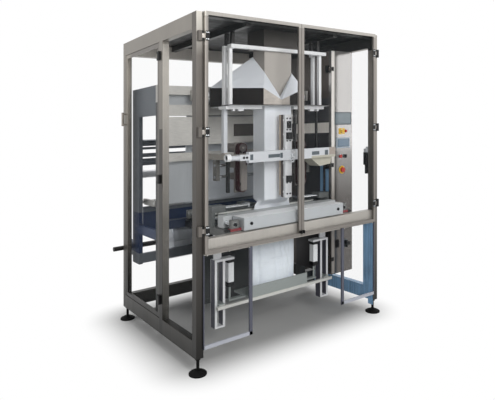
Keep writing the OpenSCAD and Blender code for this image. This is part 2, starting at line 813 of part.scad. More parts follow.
// Sheet-steel side frames of the unwinder with the reel's bearings, and the panel and tie bars
// between them
module unwinder_frame() {
    upright = [reel_y - 196, reel_y - 66];
    upright_z = 448;
    rail = [690, 760];
    panel_h = 140;
    tie_y = upright[0] + 36;
    ties = [[1250, 28], [1304, 16], [1358, 10], [1402, 26]];
    arm_half = 55;
    boss_r = 35;
    color("#5a6b80") {
        both() difference() {
            union() {
                along_x(side_x, side_x + side_t) {
                    plate([col_y + col, box_z[0]], [upright[1], box_z[1]]);
                    plate([upright[0], upright_z], [upright[1], box_z[0]]);
                    plate([col_y + col, rail[0]], [upright[0], rail[1]]);
                    plate([upright[1], reel_z - arm_half], [reel_y + 50, reel_z + arm_half]);
                }
                rod_x(side_x - 12, side_x + side_t + 8, [reel_y, reel_z], boss_r);
            }
            rod_x(side_x - 13, side_x + side_t + 9, [reel_y, reel_z], reel_r + fit);
            for (at = [idler_at, feed_at, dancer_pivot])
                rod_x(side_x - 1, side_x + axle_in + 2, at, axle_r + fit);
        }
        box([-side_x, upright[0] - 8, rail[0]], [side_x, upright[0] - 2, rail[1] + panel_h]);
        box([-side_x - 1, upright[0], upright_z + 7], [side_x + 1, upright[0] + 26, upright_z + 82]);
        for (t = ties) rod_x(-side_x - 1, side_x + 1, [tie_y, t[0]], t[1]);
    }
}

// Film on its way from the roll to the shoulder
module film_web() {
    color(film) along_x(-film_w / 2, film_w / 2) polygon(concat(
        [for (p = web_line) p[0] + left_of(p[1]) * film_t / 2],
        [for (i = [len(web_line) - 1:-1:0])
            web_line[i][0] - left_of(web_line[i][1]) * film_t / 2]));
}

// Sheet-steel box of the cabinet, open at the front
module cabinet_body() {
    x1 = cab_x + cab_w;
    back = col_y - cab_wall;
    seam = 0.1;
    color("#8d877e") {
        box([cab_x, back, cab_z], [x1, col_y, cab_top]);
        for (x = [cab_x, x1 - cab_wall])
            box([x, -cab_front, cab_z], [x + cab_wall, back - seam, cab_top]);
        for (z = [cab_z, cab_top - cab_wall])
            box([cab_x + cab_wall + seam, -cab_front, z],
                [x1 - cab_wall - seam, back - seam, z + cab_wall]);
    }
}

// Mounting plate inside the cabinet with drives, breakers and a terminal rail
module control_modules() {
    x0 = cab_x + 26;
    x1 = cab_x + cab_w - 26;
    back = col_y - cab_wall;
    front = back - 14;
    color("#b8b9b4") {
        box([x0 - 12, front, cab_z + 60], [x1 + 12, back, cab_top - 60]);
        for (x = [0, 66, 132])
            box([x0 + x, front - 150, cab_top - 420], [x0 + x + 56, front, cab_top - 180]);
        for (x = [0:21:168])
            box([x0 + x, front - 70, cab_top - 620], [x0 + x + 18, front, cab_top - 530]);
        box([x0, front - 110, cab_top - 960], [x1, front, cab_top - 760]);
        box([x0, front - 45, cab_z + 160], [x1, front, cab_z + 220]);
    }
}

// Square frame of a door with a rebate for its pane, drawn flat in (u, z)
module door_outline(u0, z0, u1, z1, inset) {
    plate([u0 + inset, z0 + inset], [u1 - inset, z1 - inset]);
}

// Left front door without its latch; the right one is its mirror image
module front_door_frame() {
    x0 = -door_half;
    x1 = -door_meet / 2;
    mid = (door_front + door_back) / 2;
    color("#b3afa7") {
        difference() {
            along_y(door_front, door_back) difference() {
                door_outline(x0, door_z, x1, frame_h, 0);
                door_outline(x0, door_z, x1, frame_h, stile);
            }
            along_y(mid - pane_t / 2, door_back + 1) door_outline(x0, door_z, x1, frame_h, stile - rebate);
            rod_y(door_front - 1, door_back + 1, [x1 - stile / 2 + 1, latch_z], pin_r + fit);
        }
        for (z = hinge_zs) translate([x0 - hinge_out, -hd - hinge_off, z])
            hinge_leaf(4, -6, hinge_out + 2, 0);
    }
}
module front_door_pane() {
    mid = (door_front + door_back) / 2;
    color(clear) along_y(mid - pane_t / 2, mid + pane_t / 2)
        door_outline(-door_half, door_z, -door_meet / 2, frame_h, stile - rebate);
}
// Turn knob with a wing, on a pin through the door's meeting bar
module front_latch() {
    at = [-door_meet / 2 - stile / 2 + 1, latch_z];
    color(black) {
        rod_y(door_front, door_back, at, pin_r);
        rod_y(door_front - knob_len * 0.6, door_front, at, knob_r);
        box([at.x - 3, door_front - knob_len, at.y - knob_r],
            [at.x + 3, door_front - knob_len * 0.6, at.y + knob_r]);
    }
}

module left_door_frame() { front_door_frame(); }
module left_door_pane() { front_door_pane(); }
module left_latch() { front_latch(); }
module right_door_frame() { mirror([1, 0, 0]) front_door_frame(); }
module right_door_pane() { mirror([1, 0, 0]) front_door_pane(); }
module right_latch() { mirror([1, 0, 0]) front_latch(); }

// Door in the rear half of the left side, with its grip
module side_door_frame() {
    back = side_face + door_t - 1;
    mid = (side_face + back) / 2;
    grip = [side_face - 34, side_y1 - side_stile / 2];
    grip_z = [1540, 1646];
    color("#a5a29b") {
        difference() {
            along_x(side_face, back) difference() {
                door_outline(side_y0, side_z0, side_y1, side_z1, 0);
                door_outline(side_y0, side_z0, side_y1, side_z1, side_stile);
            }
            along_x(mid - pane_t / 2, back + 1)
                door_outline(side_y0, side_z0, side_y1, side_z1, side_stile - rebate);
        }
        for (z = side_hinge_zs) translate([side_hinge.x, side_hinge.y, z]) hinge_leaf(2, 1, 13, 16);
        rod_z(grip_z[0], grip_z[1], grip, 9);
        for (z = [grip_z[0] + 12, grip_z[1] - 12]) rod_x(grip.x, side_face + 1, [grip.y, z], 6);
    }
}
module side_door_pane() {
    mid = side_face + (door_t - 1) / 2;
    color(clear) along_x(mid - pane_t / 2, mid + pane_t / 2)
        door_outline(side_y0, side_z0, side_y1, side_z1, side_stile - rebate);
}

// Cabinet, and the controls on its door as [x from the door's left edge, height]
cab_top = frame_h - cab_drop;
stop_at = [100, 1240];
selector_at = [150, 1240];
estop_at = [cab_w / 2, 1129];
reset_at = [cab_w / 2, 1445];
switch_at = [160, 520];
button_r = 11;
cab_door_face = -cab_front - cab_door_t;
cab_skin = 4;
cab_hinge = [cab_x - 9, -cab_front - cab_door_t / 2];
cab_hinge_zs = [cab_top - 149, 1173, 412];

// Cabinet door: a folded pan with holes for its controls, and its hinge knuckles
module cabinet_door() {
    x1 = cab_x + cab_w;
    color("#b9b4ac") {
        difference() {
            box([cab_x, cab_door_face, cab_z], [x1, -cab_front - slide_gap, cab_top]);
            box([cab_x + cab_wall, cab_door_face + cab_skin, cab_z + cab_wall],
                [x1 - cab_wall, -cab_front, cab_top - cab_wall]);
            for (at = [stop_at, selector_at, estop_at, reset_at, switch_at])
                rod_y(cab_door_face - 1, cab_door_face + cab_skin + 1, at + [cab_x, 0], button_r + fit);
        }
        for (z = cab_hinge_zs) translate([cab_hinge.x, cab_hinge.y, z])
            hinge_leaf(4, -6, cab_x - cab_hinge.x + 2, 0);
    }
}

// Screen housings set on the cabinet's door
module touch_screens() {
    proud = 8;
    mid_x = cab_x + cab_w / 2 + 10;
    color("#7d8891") for (s = [[screen_a, reset_at.y + 104.5], [screen_b, reset_at.y - 95]])
        box([mid_x - s[0].x / 2, cab_door_face - proud, s[1] - s[0].y / 2],
            [mid_x + s[0].x / 2, cab_door_face, s[1] + s[0].y / 2]);
}

// Push button at a place on the door, with a head of radius r that stands out by out
module push_button(at, r, out) {
    p = at + [cab_x, 0];
    rod_y(cab_door_face - press - 1, cab_door_face + cab_skin + 6, p, button_r);
    rod_y(cab_door_face - press - 1 - out, cab_door_face - press - 1, p, r);
}
// Turn knob at a place on the door, with a grip of length l
module turn_knob(at, r, l) {
    p = at + [cab_x, 0];
    rod_y(cab_door_face, cab_door_face + cab_skin + 6, p, button_r);
    rod_y(cab_door_face - 10, cab_door_face, p, r);
    box([p.x - 5, cab_door_face - 26, p.y - l / 2], [p.x + 5, cab_door_face - 10, p.y + l / 2]);
}
module emergency_stop() { color("#b3221c") push_button(estop_at, 20, 14); }
module stop_button() { color("#c0281f") push_button(stop_at, 14, 8); }
module reset_button() { color("#d8a21c") push_button(reset_at, 14, 8); }
module selector_knob() { color(black) turn_knob(selector_at, 14, 26); }
module main_switch() { color(black) turn_knob(switch_at, 26, 56); }

// Cover over the front jaw: front, top and end walls
module front_jaw_cover() {
    color("#d4d7da") difference() {
        box([-cover_half, cover_front, jaw_z + 2], [cover_half, front_face - jaw_d, jaw_top]);
        box([-cover_half + cover_wall, cover_front + cover_wall, jaw_z + 1],
            [cover_half - cover_wall, front_face - jaw_d + 1, jaw_top - cover_wall]);
    }
}

// Jaw bar along X with its face at y = face, turned towards dir, with a slot for the knife
// and lugs that ride on the guide rods
module jaw(face, dir) {
    back = face - dir * jaw_d;
    slot_h = knife_t + 4;
    lug = face - dir * (jaw_d - lug_d) / 2;
    groove = 3;
    difference() {
        union() {
            box([-jaw_half, min(face, back), jaw_z], [jaw_half, max(face, back), jaw_top]);
            both() box([jaw_half - 1, min(lug, lug - dir * lug_d), jaw_z + 4],
                [lug_out, max(lug, lug - dir * lug_d), jaw_top]);
        }
        both() rod_y(min(face, back) - 1, max(face, back) + 1, [jaw_rod_x, jaw_rod_z], jaw_rod_r + fit);
        box([-knife_half - 5, min(face, back) - 1, cut_z - slot_h / 2],
            [knife_half + 5, max(face, back) + 1, cut_z + slot_h / 2]);
        for (z = [-30:10:30]) if (abs(z) > slot_h)
            box([-jaw_half - 1, min(face, face - dir * groove) - 0.01, cut_z + z - 2],
                [jaw_half + 1, max(face, face - dir * groove) + 0.01, cut_z + z + 2]);
    }
}
module front_jaw() {
    back = front_face - jaw_d;
    color("#bfc2c4") {
        jaw(front_face, 1);
        difference() {
            box([-25, cover_front + cover_wall, cut_z - 25], [25, back, cut_z + 25]);
            rod_y(cover_front + cover_wall + 15, back + 1, [0, cut_z], knife_rod_r + fit);
        }
    }
}
module rear_jaw() {
    back = rear_face + jaw_d;
    color("#aeb1b3") {
        jaw(rear_face, -1);
        rod_y(back, col_y - 75, [0, jaw_rod_z], jaw_rod_piston_r);
    }
}

// Toothed blade on the piston of its cylinder, inside the front jaw
module knife() {
    tip = front_face - 4;
    back = tip - knife_back + 10;
    pitch = 10;
    teeth = [for (i = [0:2 * knife_half / pitch]) [-knife_half + i * pitch, tip - (i % 2) * 6]];
    color("#9fa3a6") {
        translate([0, 0, cut_z - knife_t / 2]) linear_extrude(knife_t)
            polygon(concat(teeth, [[knife_half, back], [-knife_half, back]]));
        rod_y(front_face - jaw_d - 70, back + 2, [0, cut_z], knife_rod_r / 2);
        rod_y(front_face - jaw_d - 90, front_face - jaw_d - 30, [0, cut_z], knife_rod_r);
    }
}

// Body of the vertical seal on its two guide pins, with its screws' heads
module seal_bar() {
    screw_z = seal_z + 40;
    screw_dz = (seal_l - 80) / 5;
    color(alu) {
        box([-seal_half, seal_face, seal_z], [seal_half, seal_y, seal_z + seal_l]);
        for (s = [-1, 1])
            rod_y(gantry_face - guide_pin_out, seal_face, [0, gantry_z + s * guide_pin_dz], guide_pin_r);
        for (i = [0:5])
            rod_x(-seal_half - 5, -seal_half, [(seal_face + seal_y) / 2, screw_z + i * screw_dz], 7);
    }
}
module seal_heater() {
    color("#6b5646")
        box([-seal_half + 4, seal_y, seal_z + 10], [seal_half - 4, heater_y, seal_z + seal_l]);
}

// Left belt carriage: plate, belt bed, pulley pins, rod bearings and drive motor
module belt_carriage() {
    color("#8f8a86") {
        box([-belt_x - pulley_r - 9, plate_front, belt_z - 39],
            [-belt_x + pulley_r, plate_back, belt_top + 40]);
        box([-belt_x - 24, belt_y - belt_w / 2, belt_z + pulley_r + 12],
            [-belt_x + 24, plate_front, belt_top - pulley_r - 12]);
        for (z = [belt_z, belt_top])
            rod_y(belt_y - belt_w / 2 - 4, plate_front, [-belt_x, z], pulley_pin_r);
        for (z = belt_rod_zs) difference() {
            box([-belt_x - 33, plate_back, z - bearing_half],
                [-belt_x + 33, belt_rod_y + 24, z + bearing_half]);
            rod_x(-belt_x - 34, -belt_x + 34, [belt_rod_y, z], belt_rod_r + fit);
        }
        rod_y(plate_back, plate_back + 160, [-belt_x, belt_top], pulley_r + 3);
    }
}
// Stadium outline round both pulleys, r wide of their centres, drawn in (x, z)
module belt_outline(r) {
    for (z = [belt_z, belt_top]) translate([-belt_x, z]) circle(r);
    translate([-belt_x - r, belt_z]) square([2 * r, belt_l]);
}
module pull_belt() {
    color("#4a1f20") along_y(belt_y - belt_w / 2, belt_y + belt_w / 2) difference() {
        belt_outline(belt_out);
        belt_outline(pulley_r + slide_gap);
    }
}
module pulley(z) {
    color("#c4c6c8") difference() {
        rod_y(belt_y - belt_w / 2, belt_y + belt_w / 2, [-belt_x, z], pulley_r);
        rod_y(belt_y - belt_w, belt_y + belt_w, [-belt_x, z], pulley_pin_r + fit);
    }
}
module left_belt_carriage() { belt_carriage(); }
module left_belt() { pull_belt(); }
module left_drive_pulley() { pulley(belt_top); }
module left_idler_pulley() { pulley(belt_z); }
module right_belt_carriage() { mirror([1, 0, 0]) belt_carriage(); }
module right_belt() { mirror([1, 0, 0]) pull_belt(); }
module right_drive_pulley() { mirror([1, 0, 0]) pulley(belt_top); }
module right_idler_pulley() { mirror([1, 0, 0]) pulley(belt_z); }

// Twin piston rods with a blade that tucks the side of the film tube
module gusset_pusher() {
    color("#c9ccce") {
        for (y = [-20, 20])
            rod_x(-pusher_cyl[1] + 30, -pusher_tip - 8, [film_y + y, pusher_z], pusher_rod_r);
        box([-pusher_tip - 12, film_y - 34, pusher_z - 14],
            [-pusher_tip, film_y + 34, pusher_z + 14]);
    }
}
module left_pusher() { gusset_pusher(); }
module right_pusher() { mirror([1, 0, 0]) gusset_pusher(); }

// Trough under the bag, with its lip, cross bar, slide blocks and piston rods
module bag_trough() {
    low = trough_z - trough_t;
    bar_back = trough_front + 16;
    color("#c6c9cb") {
        box([-trough_half, trough_front, low], [trough_half, trough_rear, trough_z]);
        box([-trough_half, trough_front, low], [trough_half, trough_front + 6, trough_z + lip_h]);
        box([-lift_x - 45, bar_back - cross_bar, low - cross_bar], [lift_x + 45, bar_back, low]);
        both() {
            box([lift_x - lift_slot / 2 + slide_gap, bar_back - 1, low - 30],
                [lift_x + lift_slot / 2 - slide_gap, lift_y + lift_depth / 2, low + 10]);
            box([trough_half - 1, lift_cyl_y - 15, low], [lift_cyl_x + 15, lift_cyl_y + 15, trough_z]);
            rod_z(trough_z, lift_top - 35, [lift_cyl_x, lift_cyl_y], lift_rod_r);
        }
    }
}

// Reel shaft with its chucks and stop collars
module reel_shaft() {
    at = [reel_y, reel_z];
    chuck = 50;
    end_x = side_x + side_t + 15;
    color(black) {
        rod_x(-shaft_reach, -end_x, at, shaft_end_r);
        rod_x(-end_x, side_x + side_t + 20, at, reel_r);
        both() {
            rod_x(film_w / 2 - chuck, film_w / 2, at, core_r - fit);
            rod_x(side_x - 26, side_x - 13, at, reel_r + 10);
        }
    }
}
module film_roll() {
    color(film) difference() {
        rod_x(-film_w / 2, film_w / 2, [reel_y, reel_z], roll_r);
        rod_x(-film_w / 2 - 1, film_w / 2 + 1, [reel_y, reel_z], core_r);
    }
}

// Web roller along X with its axle, half long on each side
module web_roller(at, r, half, axle_half, axle) {
    color("#b4b8bc") {
        rod_x(-half, half, at, r);
        rod_x(-axle_half, axle_half, at, axle);
    }
}
module idler_roller() { web_roller(idler_at, roller_r, roller_half, side_x + axle_in, axle_r); }
module feed_roller() { web_roller(feed_at, feed_r, roller_half, side_x + axle_in, axle_r); }
module entry_roller() { web_roller(entry_at, entry_r, entry_bracket_x - 6, entry_bracket_x + 14, axle_r); }

// Two swing arms on a cross shaft, which carry the dancer roller
dancer_arm_x = roller_half - 35;
dancer_arm_t = 15;
dancer_pin_r = 8;
module dancer_arms() {
    eye = 24;
    color("#9fa6ad") {
        rod_x(-side_x - axle_in, side_x + axle_in, dancer_pivot, axle_r);
        both() along_x(dancer_arm_x, dancer_arm_x + dancer_arm_t) difference() {
            union() {
                for (at = [dancer_pivot, dancer_at]) translate(at) circle(eye);
                translate(dancer_at - [0, eye]) square([dancer_l, 2 * eye]);
            }
            translate(dancer_at) circle(dancer_pin_r + fit);
        }
    }
}
module dancer_roller() {
    web_roller(dancer_at, roller_r, dancer_arm_x - 4, dancer_arm_x + dancer_arm_t, dancer_pin_r);
}

stand() guard_frame();
stand() roof_panel();
stand() levelling_feet();
stand() guard_panes();
stand() guard_screws();
stand() door_fittings();
stand() main_frame();
stand() guide_rods();
stand() air_cylinders();
stand() fill_tube();
stand() forming_shoulder();
stand() collar_frame();
stand() film_tube();
stand() bag();
stand() gantry();
stand() hanger_rods();
stand() lift_columns();
stand() unwinder_frame();
stand() film_web();
stand() cabinet_body();
stand() control_modules();
stand() left_door_frame();
stand() left_door_pane();
stand() left_latch();
stand() right_door_frame();
stand() right_door_pane();
stand() right_latch();
stand() side_door_frame();
stand() side_door_pane();
stand() cabinet_door();
stand() touch_screens();
stand() emergency_stop();
stand() stop_button();
stand() reset_button();
stand() selector_knob();
stand() main_switch();
stand() front_jaw_cover();
stand() front_jaw();
stand() rear_jaw();
stand() knife();
stand() seal_bar();
stand() seal_heater();
stand() left_belt_carriage();
stand() left_belt();
stand() left_drive_pulley();
stand() left_idler_pulley();
stand() right_belt_carriage();
stand() right_belt();
stand() right_drive_pulley();
stand() right_idler_pulley();
stand() left_pusher();
stand() right_pusher();
stand() bag_trough();
stand() reel_shaft();
stand() film_roll();
stand() idler_roller();
stand() feed_roller();
stand() entry_roller();
stand() dancer_arms();
stand() dancer_roller();
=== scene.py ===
"""Looks of a vertical form fill sealer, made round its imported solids.

The file is run as a script: main() registers the classes and calls the operators in order.
Tables of places are in millimetres from the guard frame's centre on the floor.
"""

import math

import bmesh
import bpy
import numpy as np
from mathutils import Matrix, Vector


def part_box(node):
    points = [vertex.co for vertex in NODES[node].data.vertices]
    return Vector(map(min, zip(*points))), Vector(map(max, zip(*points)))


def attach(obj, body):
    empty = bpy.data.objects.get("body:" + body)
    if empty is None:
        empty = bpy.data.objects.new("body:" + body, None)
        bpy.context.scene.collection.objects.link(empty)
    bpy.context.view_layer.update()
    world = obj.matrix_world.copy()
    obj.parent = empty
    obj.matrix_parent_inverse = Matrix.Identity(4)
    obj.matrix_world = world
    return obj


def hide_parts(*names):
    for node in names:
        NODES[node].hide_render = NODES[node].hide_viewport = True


bl_info = {
    "name": "Form fill sealer finish",
    "version": (1, 0, 0),
    "blender": (4, 5, 0),
    "location": "3D View > Sidebar > Sealer",
    "description": "Materials, film, controls and fittings of a vertical form fill sealer",
    "category": "Object",
}

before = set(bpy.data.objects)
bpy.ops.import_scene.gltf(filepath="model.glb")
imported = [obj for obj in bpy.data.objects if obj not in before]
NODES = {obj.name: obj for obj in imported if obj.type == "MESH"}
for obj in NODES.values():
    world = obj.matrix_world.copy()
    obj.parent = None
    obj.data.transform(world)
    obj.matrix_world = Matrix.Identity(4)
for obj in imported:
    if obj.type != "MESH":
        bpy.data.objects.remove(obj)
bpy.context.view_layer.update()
GUARD_LOW, GUARD_HIGH = (np.array(corner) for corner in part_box("guard_frame"))
CENTRE = np.append((GUARD_LOW + GUARD_HIGH)[:2] / 2, 0.0)
MM = 0.001
SMUDGE, SMUDGE_SHARE = 0.22, 0.35  # smudges that handling leaves: width in metres, weight
NOISE_RANGE = {"From Min": 0.3, "From Max": 0.7}
BUMP_STRENGTH = 0.6
MERGE_DISTANCE = 2e-6
SMOOTH_ANGLE, BEVEL_ANGLE = math.radians(38), math.radians(50)
ZERO = (0.0, 0.0, 0.0)
WHITE = (1.0, 1.0, 1.0, 1.0)
GANTRY_FACE = -520.5  # front of the gantry's beam, in mm


def linear(code):
    """sRGB hex code as linear RGB: c / 12.92 up to 0.04045, else ((c + 0.055) / 1.055) ^ 2.4."""
    c = np.array([int(code[i : i + 2], 16) for i in (1, 3, 5)]) / 255
    return tuple(float(x) for x in np.where(c <= 0.04045, c / 12.92, ((c + 0.055) / 1.055) ** 2.4))


def place(points):
    """Millimetres from the guard frame's centre, as metres in the row frame."""
    return np.asarray(points, float) * MM + CENTRE


def measured(name):
    """Lowest and highest corner of a CAD node, in millimetres from the guard frame's centre."""
    return [(np.array(corner) - CENTRE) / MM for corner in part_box(name)]


def colour_property(label, code, words):
    """Colour property with an sRGB hex code as its default."""
    return bpy.props.FloatVectorProperty(
        name=label, description=words, subtype="COLOR", size=3, min=0, max=1, default=linear(code)
    )


def number_property(label, value, words, **more):
    """Number property with its limits or unit in more."""
    return bpy.props.FloatProperty(name=label, description=words, default=value, **more)


def length_property(label, millimetres, words):
    """Length property with a default in millimetres."""
    return number_property(label, millimetres * MM, words, min=0, unit="LENGTH")


class SealerColours(bpy.types.PropertyGroup):
    """Colours of the machine's finishes."""

    steel: colour_property("Brushed steel", "#948f88", "Square tube of the guard frame")
    doors: colour_property("Door steel", "#7f7a75", "Square tube of the doors")
    sheet: colour_property("Sheet steel", "#c0bbb3", "Cabinet and front beam")
    hopper: colour_property("Tube steel", "#a8a39d", "Filling tube and its inlet")
    roof: colour_property("Dark steel", "#1f1e1d", "Roof sheet")
    shoulder: colour_property("Shoulder in painted shade", "#191513", "Forming shoulder")
    alloy: colour_property("Anodised aluminium", "#dcdddf", "Seal bar, rollers and lift columns")
    gantry: colour_property("Gantry aluminium", "#c9ccd0", "Gantry bar and its bracket")
    machined: colour_property("Machined steel", "#c4c2bd", "Columns and cross bars")
    carriage: colour_property("Blasted steel", "#716c68", "Belt carriages and rear jaw")
    unwinder: colour_property("Grey sheet", "#6a7077", "Side frames of the unwinder")
    film: colour_property("Polyethylene film", "#e4e8ee", "Film, bag and roll")
    belt: colour_property("Belt rubber", "#301416", "Pull belts")
    protective: colour_property("Protective film", "#7aa2c6", "Blue film left on the steel")


class SealerSizes(bpy.types.PropertyGroup):
    """Sizes of the pieces that the solids leave plain."""

    film_lift: length_property("Film lift", 1.2, "Distance of the film above the shoulder")
    film_thickness: length_property("Film thickness", 0.4, "Thickness that the film is drawn with")
    fold_depth: length_property("Fold depth", 15.0, "Depth of the folds in the bag")
    ripple: length_property("Ripple", 2.0, "Height of the ripples in the film on the shoulder")
    edge: length_property("Edge rounding", 0.8, "Rounding of the small fittings' edges")
    screen_inset: length_property("Screen inset", 9.0, "Width of the screens' bezels")


class SealerStage(bpy.types.PropertyGroup):
    """Camera, lamps and floor."""

    focal: number_property("Focal length", 35.01, "Lens for a 36 mm sensor", min=1)
    eye: bpy.props.FloatVectorProperty(
        name="Camera", description="Camera's place", size=3, subtype="XYZ", unit="LENGTH",
        default=(-2.219, -3.2105, 1.454),
    )
    yaw: number_property("Yaw", 0.615, "Camera's turn to the right of +Y", unit="ROTATION")
    drop: number_property("Lens drop", -0.1352, "Lens shift as a share of the width")
    lean: number_property("Lean", -0.032, "Rise of level lines across the picture")
    lamps: number_property("Lamps", 1.0, "Share of the lamps' power", min=0)
    floor: colour_property("Floor", "#b6b6b5", "Studio floor")


def node(tree, kind, settings=(), links=()):
    """Adds a shader node and gives its outputs.

    settings are pairs of an attribute or input and its value, links of an input and a socket.
    """
    made = tree.nodes.new("ShaderNode" + kind)
    for key, value in dict(settings).items():
        if isinstance(key, int) or key in made.inputs:
            made.inputs[key].default_value = value
        else:
            setattr(made, key, value)
    for key, socket in dict(links).items():
        tree.links.new(socket, made.inputs[key])
    return made.outputs


def worked(tree, operation, first, second):
    """Two sockets put through a maths operation."""
    return node(tree, "Math", {"operation": operation}, {0: first, 1: second})[0]


def chained(tree, socket, *steps):
    """Vector socket put through steps of (operation, constant)."""
    for operation, constant in steps:
        settings = {"operation": operation, 1: constant}
        socket = node(tree, "VectorMath", settings, {0: socket})[0]
    return socket


def falling(tree, socket, low, high):
    """Mask that goes from 1 where the socket is low to 0 where it is high."""
    limits = {"From Min": low, "From Max": high, "To Min": 1.0, "To Max": 0.0}
    return node(tree, "MapRange", limits, {"Value": socket})[0]


def principled(name, sockets):
    """New material, its node tree and its shader with the sockets set."""
    material = bpy.data.materials.new(name)
    material.use_nodes = True
    shader = material.node_tree.nodes["Principled BSDF"]
    for key, value in sockets.items():
        shader.inputs[key].default_value = value
    return material, material.node_tree, shader


def tinted(colour, share):
    """The colour times share, with alpha."""
    return tuple(min(1.0, c * share) for c in colour) + (1.0,)


def finish(name, colour, metallic, rough, grain, colour_share, rough_share, relief, sockets=None):
    """Principled surface whose colour, roughness and relief follow a noise.

    grain is the noise's size in millimetres, one number or X, Y and Z, colour_share how far the
    colour goes either way, rough_share the same for the roughness and relief the bump in
    millimetres. A second noise, SMUDGE wide, adds the soft smudges that handling leaves.
    """
    material, tree, shader = principled(name, {"Metallic": metallic, **(sockets or {})})
    spot = node(tree, "TexCoord")["Object"]
    scale = [1 / (size * MM) for size in np.broadcast_to(grain, 3)]
    fine = node(tree, "Mapping", {"Scale": scale}, {"Vector": spot})[0]
    fine = node(tree, "TexNoise", {"Scale": 1.0, "Detail": 3.0}, {"Vector": fine})[0]
    broad = node(tree, "TexNoise", {"Scale": 1 / SMUDGE, "Detail": 2.0}, {"Vector": spot})[0]
    broad = node(tree, "Math", {"operation": "MULTIPLY", 1: SMUDGE_SHARE}, {0: broad})[0]
    weigh = {"operation": "MULTIPLY_ADD", 1: 1 - SMUDGE_SHARE}
    both = node(tree, "Math", weigh, {0: fine, 2: broad})[0]
    spread = node(tree, "MapRange", NOISE_RANGE, {"Value": both})[0]
    ends = {6: tinted(colour, 1 - colour_share), 7: tinted(colour, 1 + colour_share)}
    shade = node(tree, "Mix", {"data_type": "RGBA", **ends}, {0: spread})[2]
    tree.links.new(shade, shader.inputs["Base Color"])
    limits = {"To Min": rough * (1 - rough_share), "To Max": min(1.0, rough * (1 + rough_share))}
    dull = node(tree, "MapRange", limits, {"Value": spread})[0]
    tree.links.new(dull, shader.inputs["Roughness"])
    if relief:
        depth = {"Strength": BUMP_STRENGTH, "Distance": relief * MM}
        bump = node(tree, "Bump", depth, {"Height": fine})[0]
        tree.links.new(bump, shader.inputs["Normal"])
    return material


def recoloured(material, base, colour, mask):
    """Turns the material's colour from base to another colour where the mask socket is 1."""
    tree = material.node_tree
    shown = tree.nodes["Principled BSDF"].inputs["Base Color"]
    share = tuple(c / b for c, b in zip(colour, base)) + (1.0,)
    settings = {"data_type": "RGBA", "blend_type": "MULTIPLY", 7: share}
    mixed = node(tree, "Mix", settings, {0: mask, 6: shown.links[0].from_socket})[2]
    tree.links.new(mixed, shown)


def graded(material, base, colour, low, high):
    """Lets the colour go from base at height high to another colour at height low, in mm."""
    tree = material.node_tree
    spot = node(tree, "TexCoord")["Object"]
    height = node(tree, "SeparateXYZ", links={0: spot})[2]
    recoloured(material, base, colour, falling(tree, height, low * MM, high * MM))


def patched(material, base, colour, regions, soft):
    """Gives the material, whose colour is base, another colour inside boxes in millimetres.

    The mask falls from 1 to 0 over the last soft millimetres of the box, which may differ by axis:
    the largest of (|p - middle| - half) / soft, over the three axes, goes from -1 to 0.
    """
    tree = material.node_tree
    spot = node(tree, "TexCoord")["Object"]
    fade = (np.broadcast_to(soft, 3) * MM).tolist()
    for region in regions:
        corners = place(region)
        middle, half = corners.mean(0).tolist(), (np.ptp(corners, 0) / 2).tolist()
        steps = (("SUBTRACT", middle), ("ABSOLUTE", ZERO), ("SUBTRACT", half), ("DIVIDE", fade))
        x, y, z = node(tree, "SeparateXYZ", links={0: chained(tree, spot, *steps)})
        most = worked(tree, "MAXIMUM", worked(tree, "MAXIMUM", x, y), z)
        recoloured(material, base, colour, falling(tree, most, -1.0, 0.0))


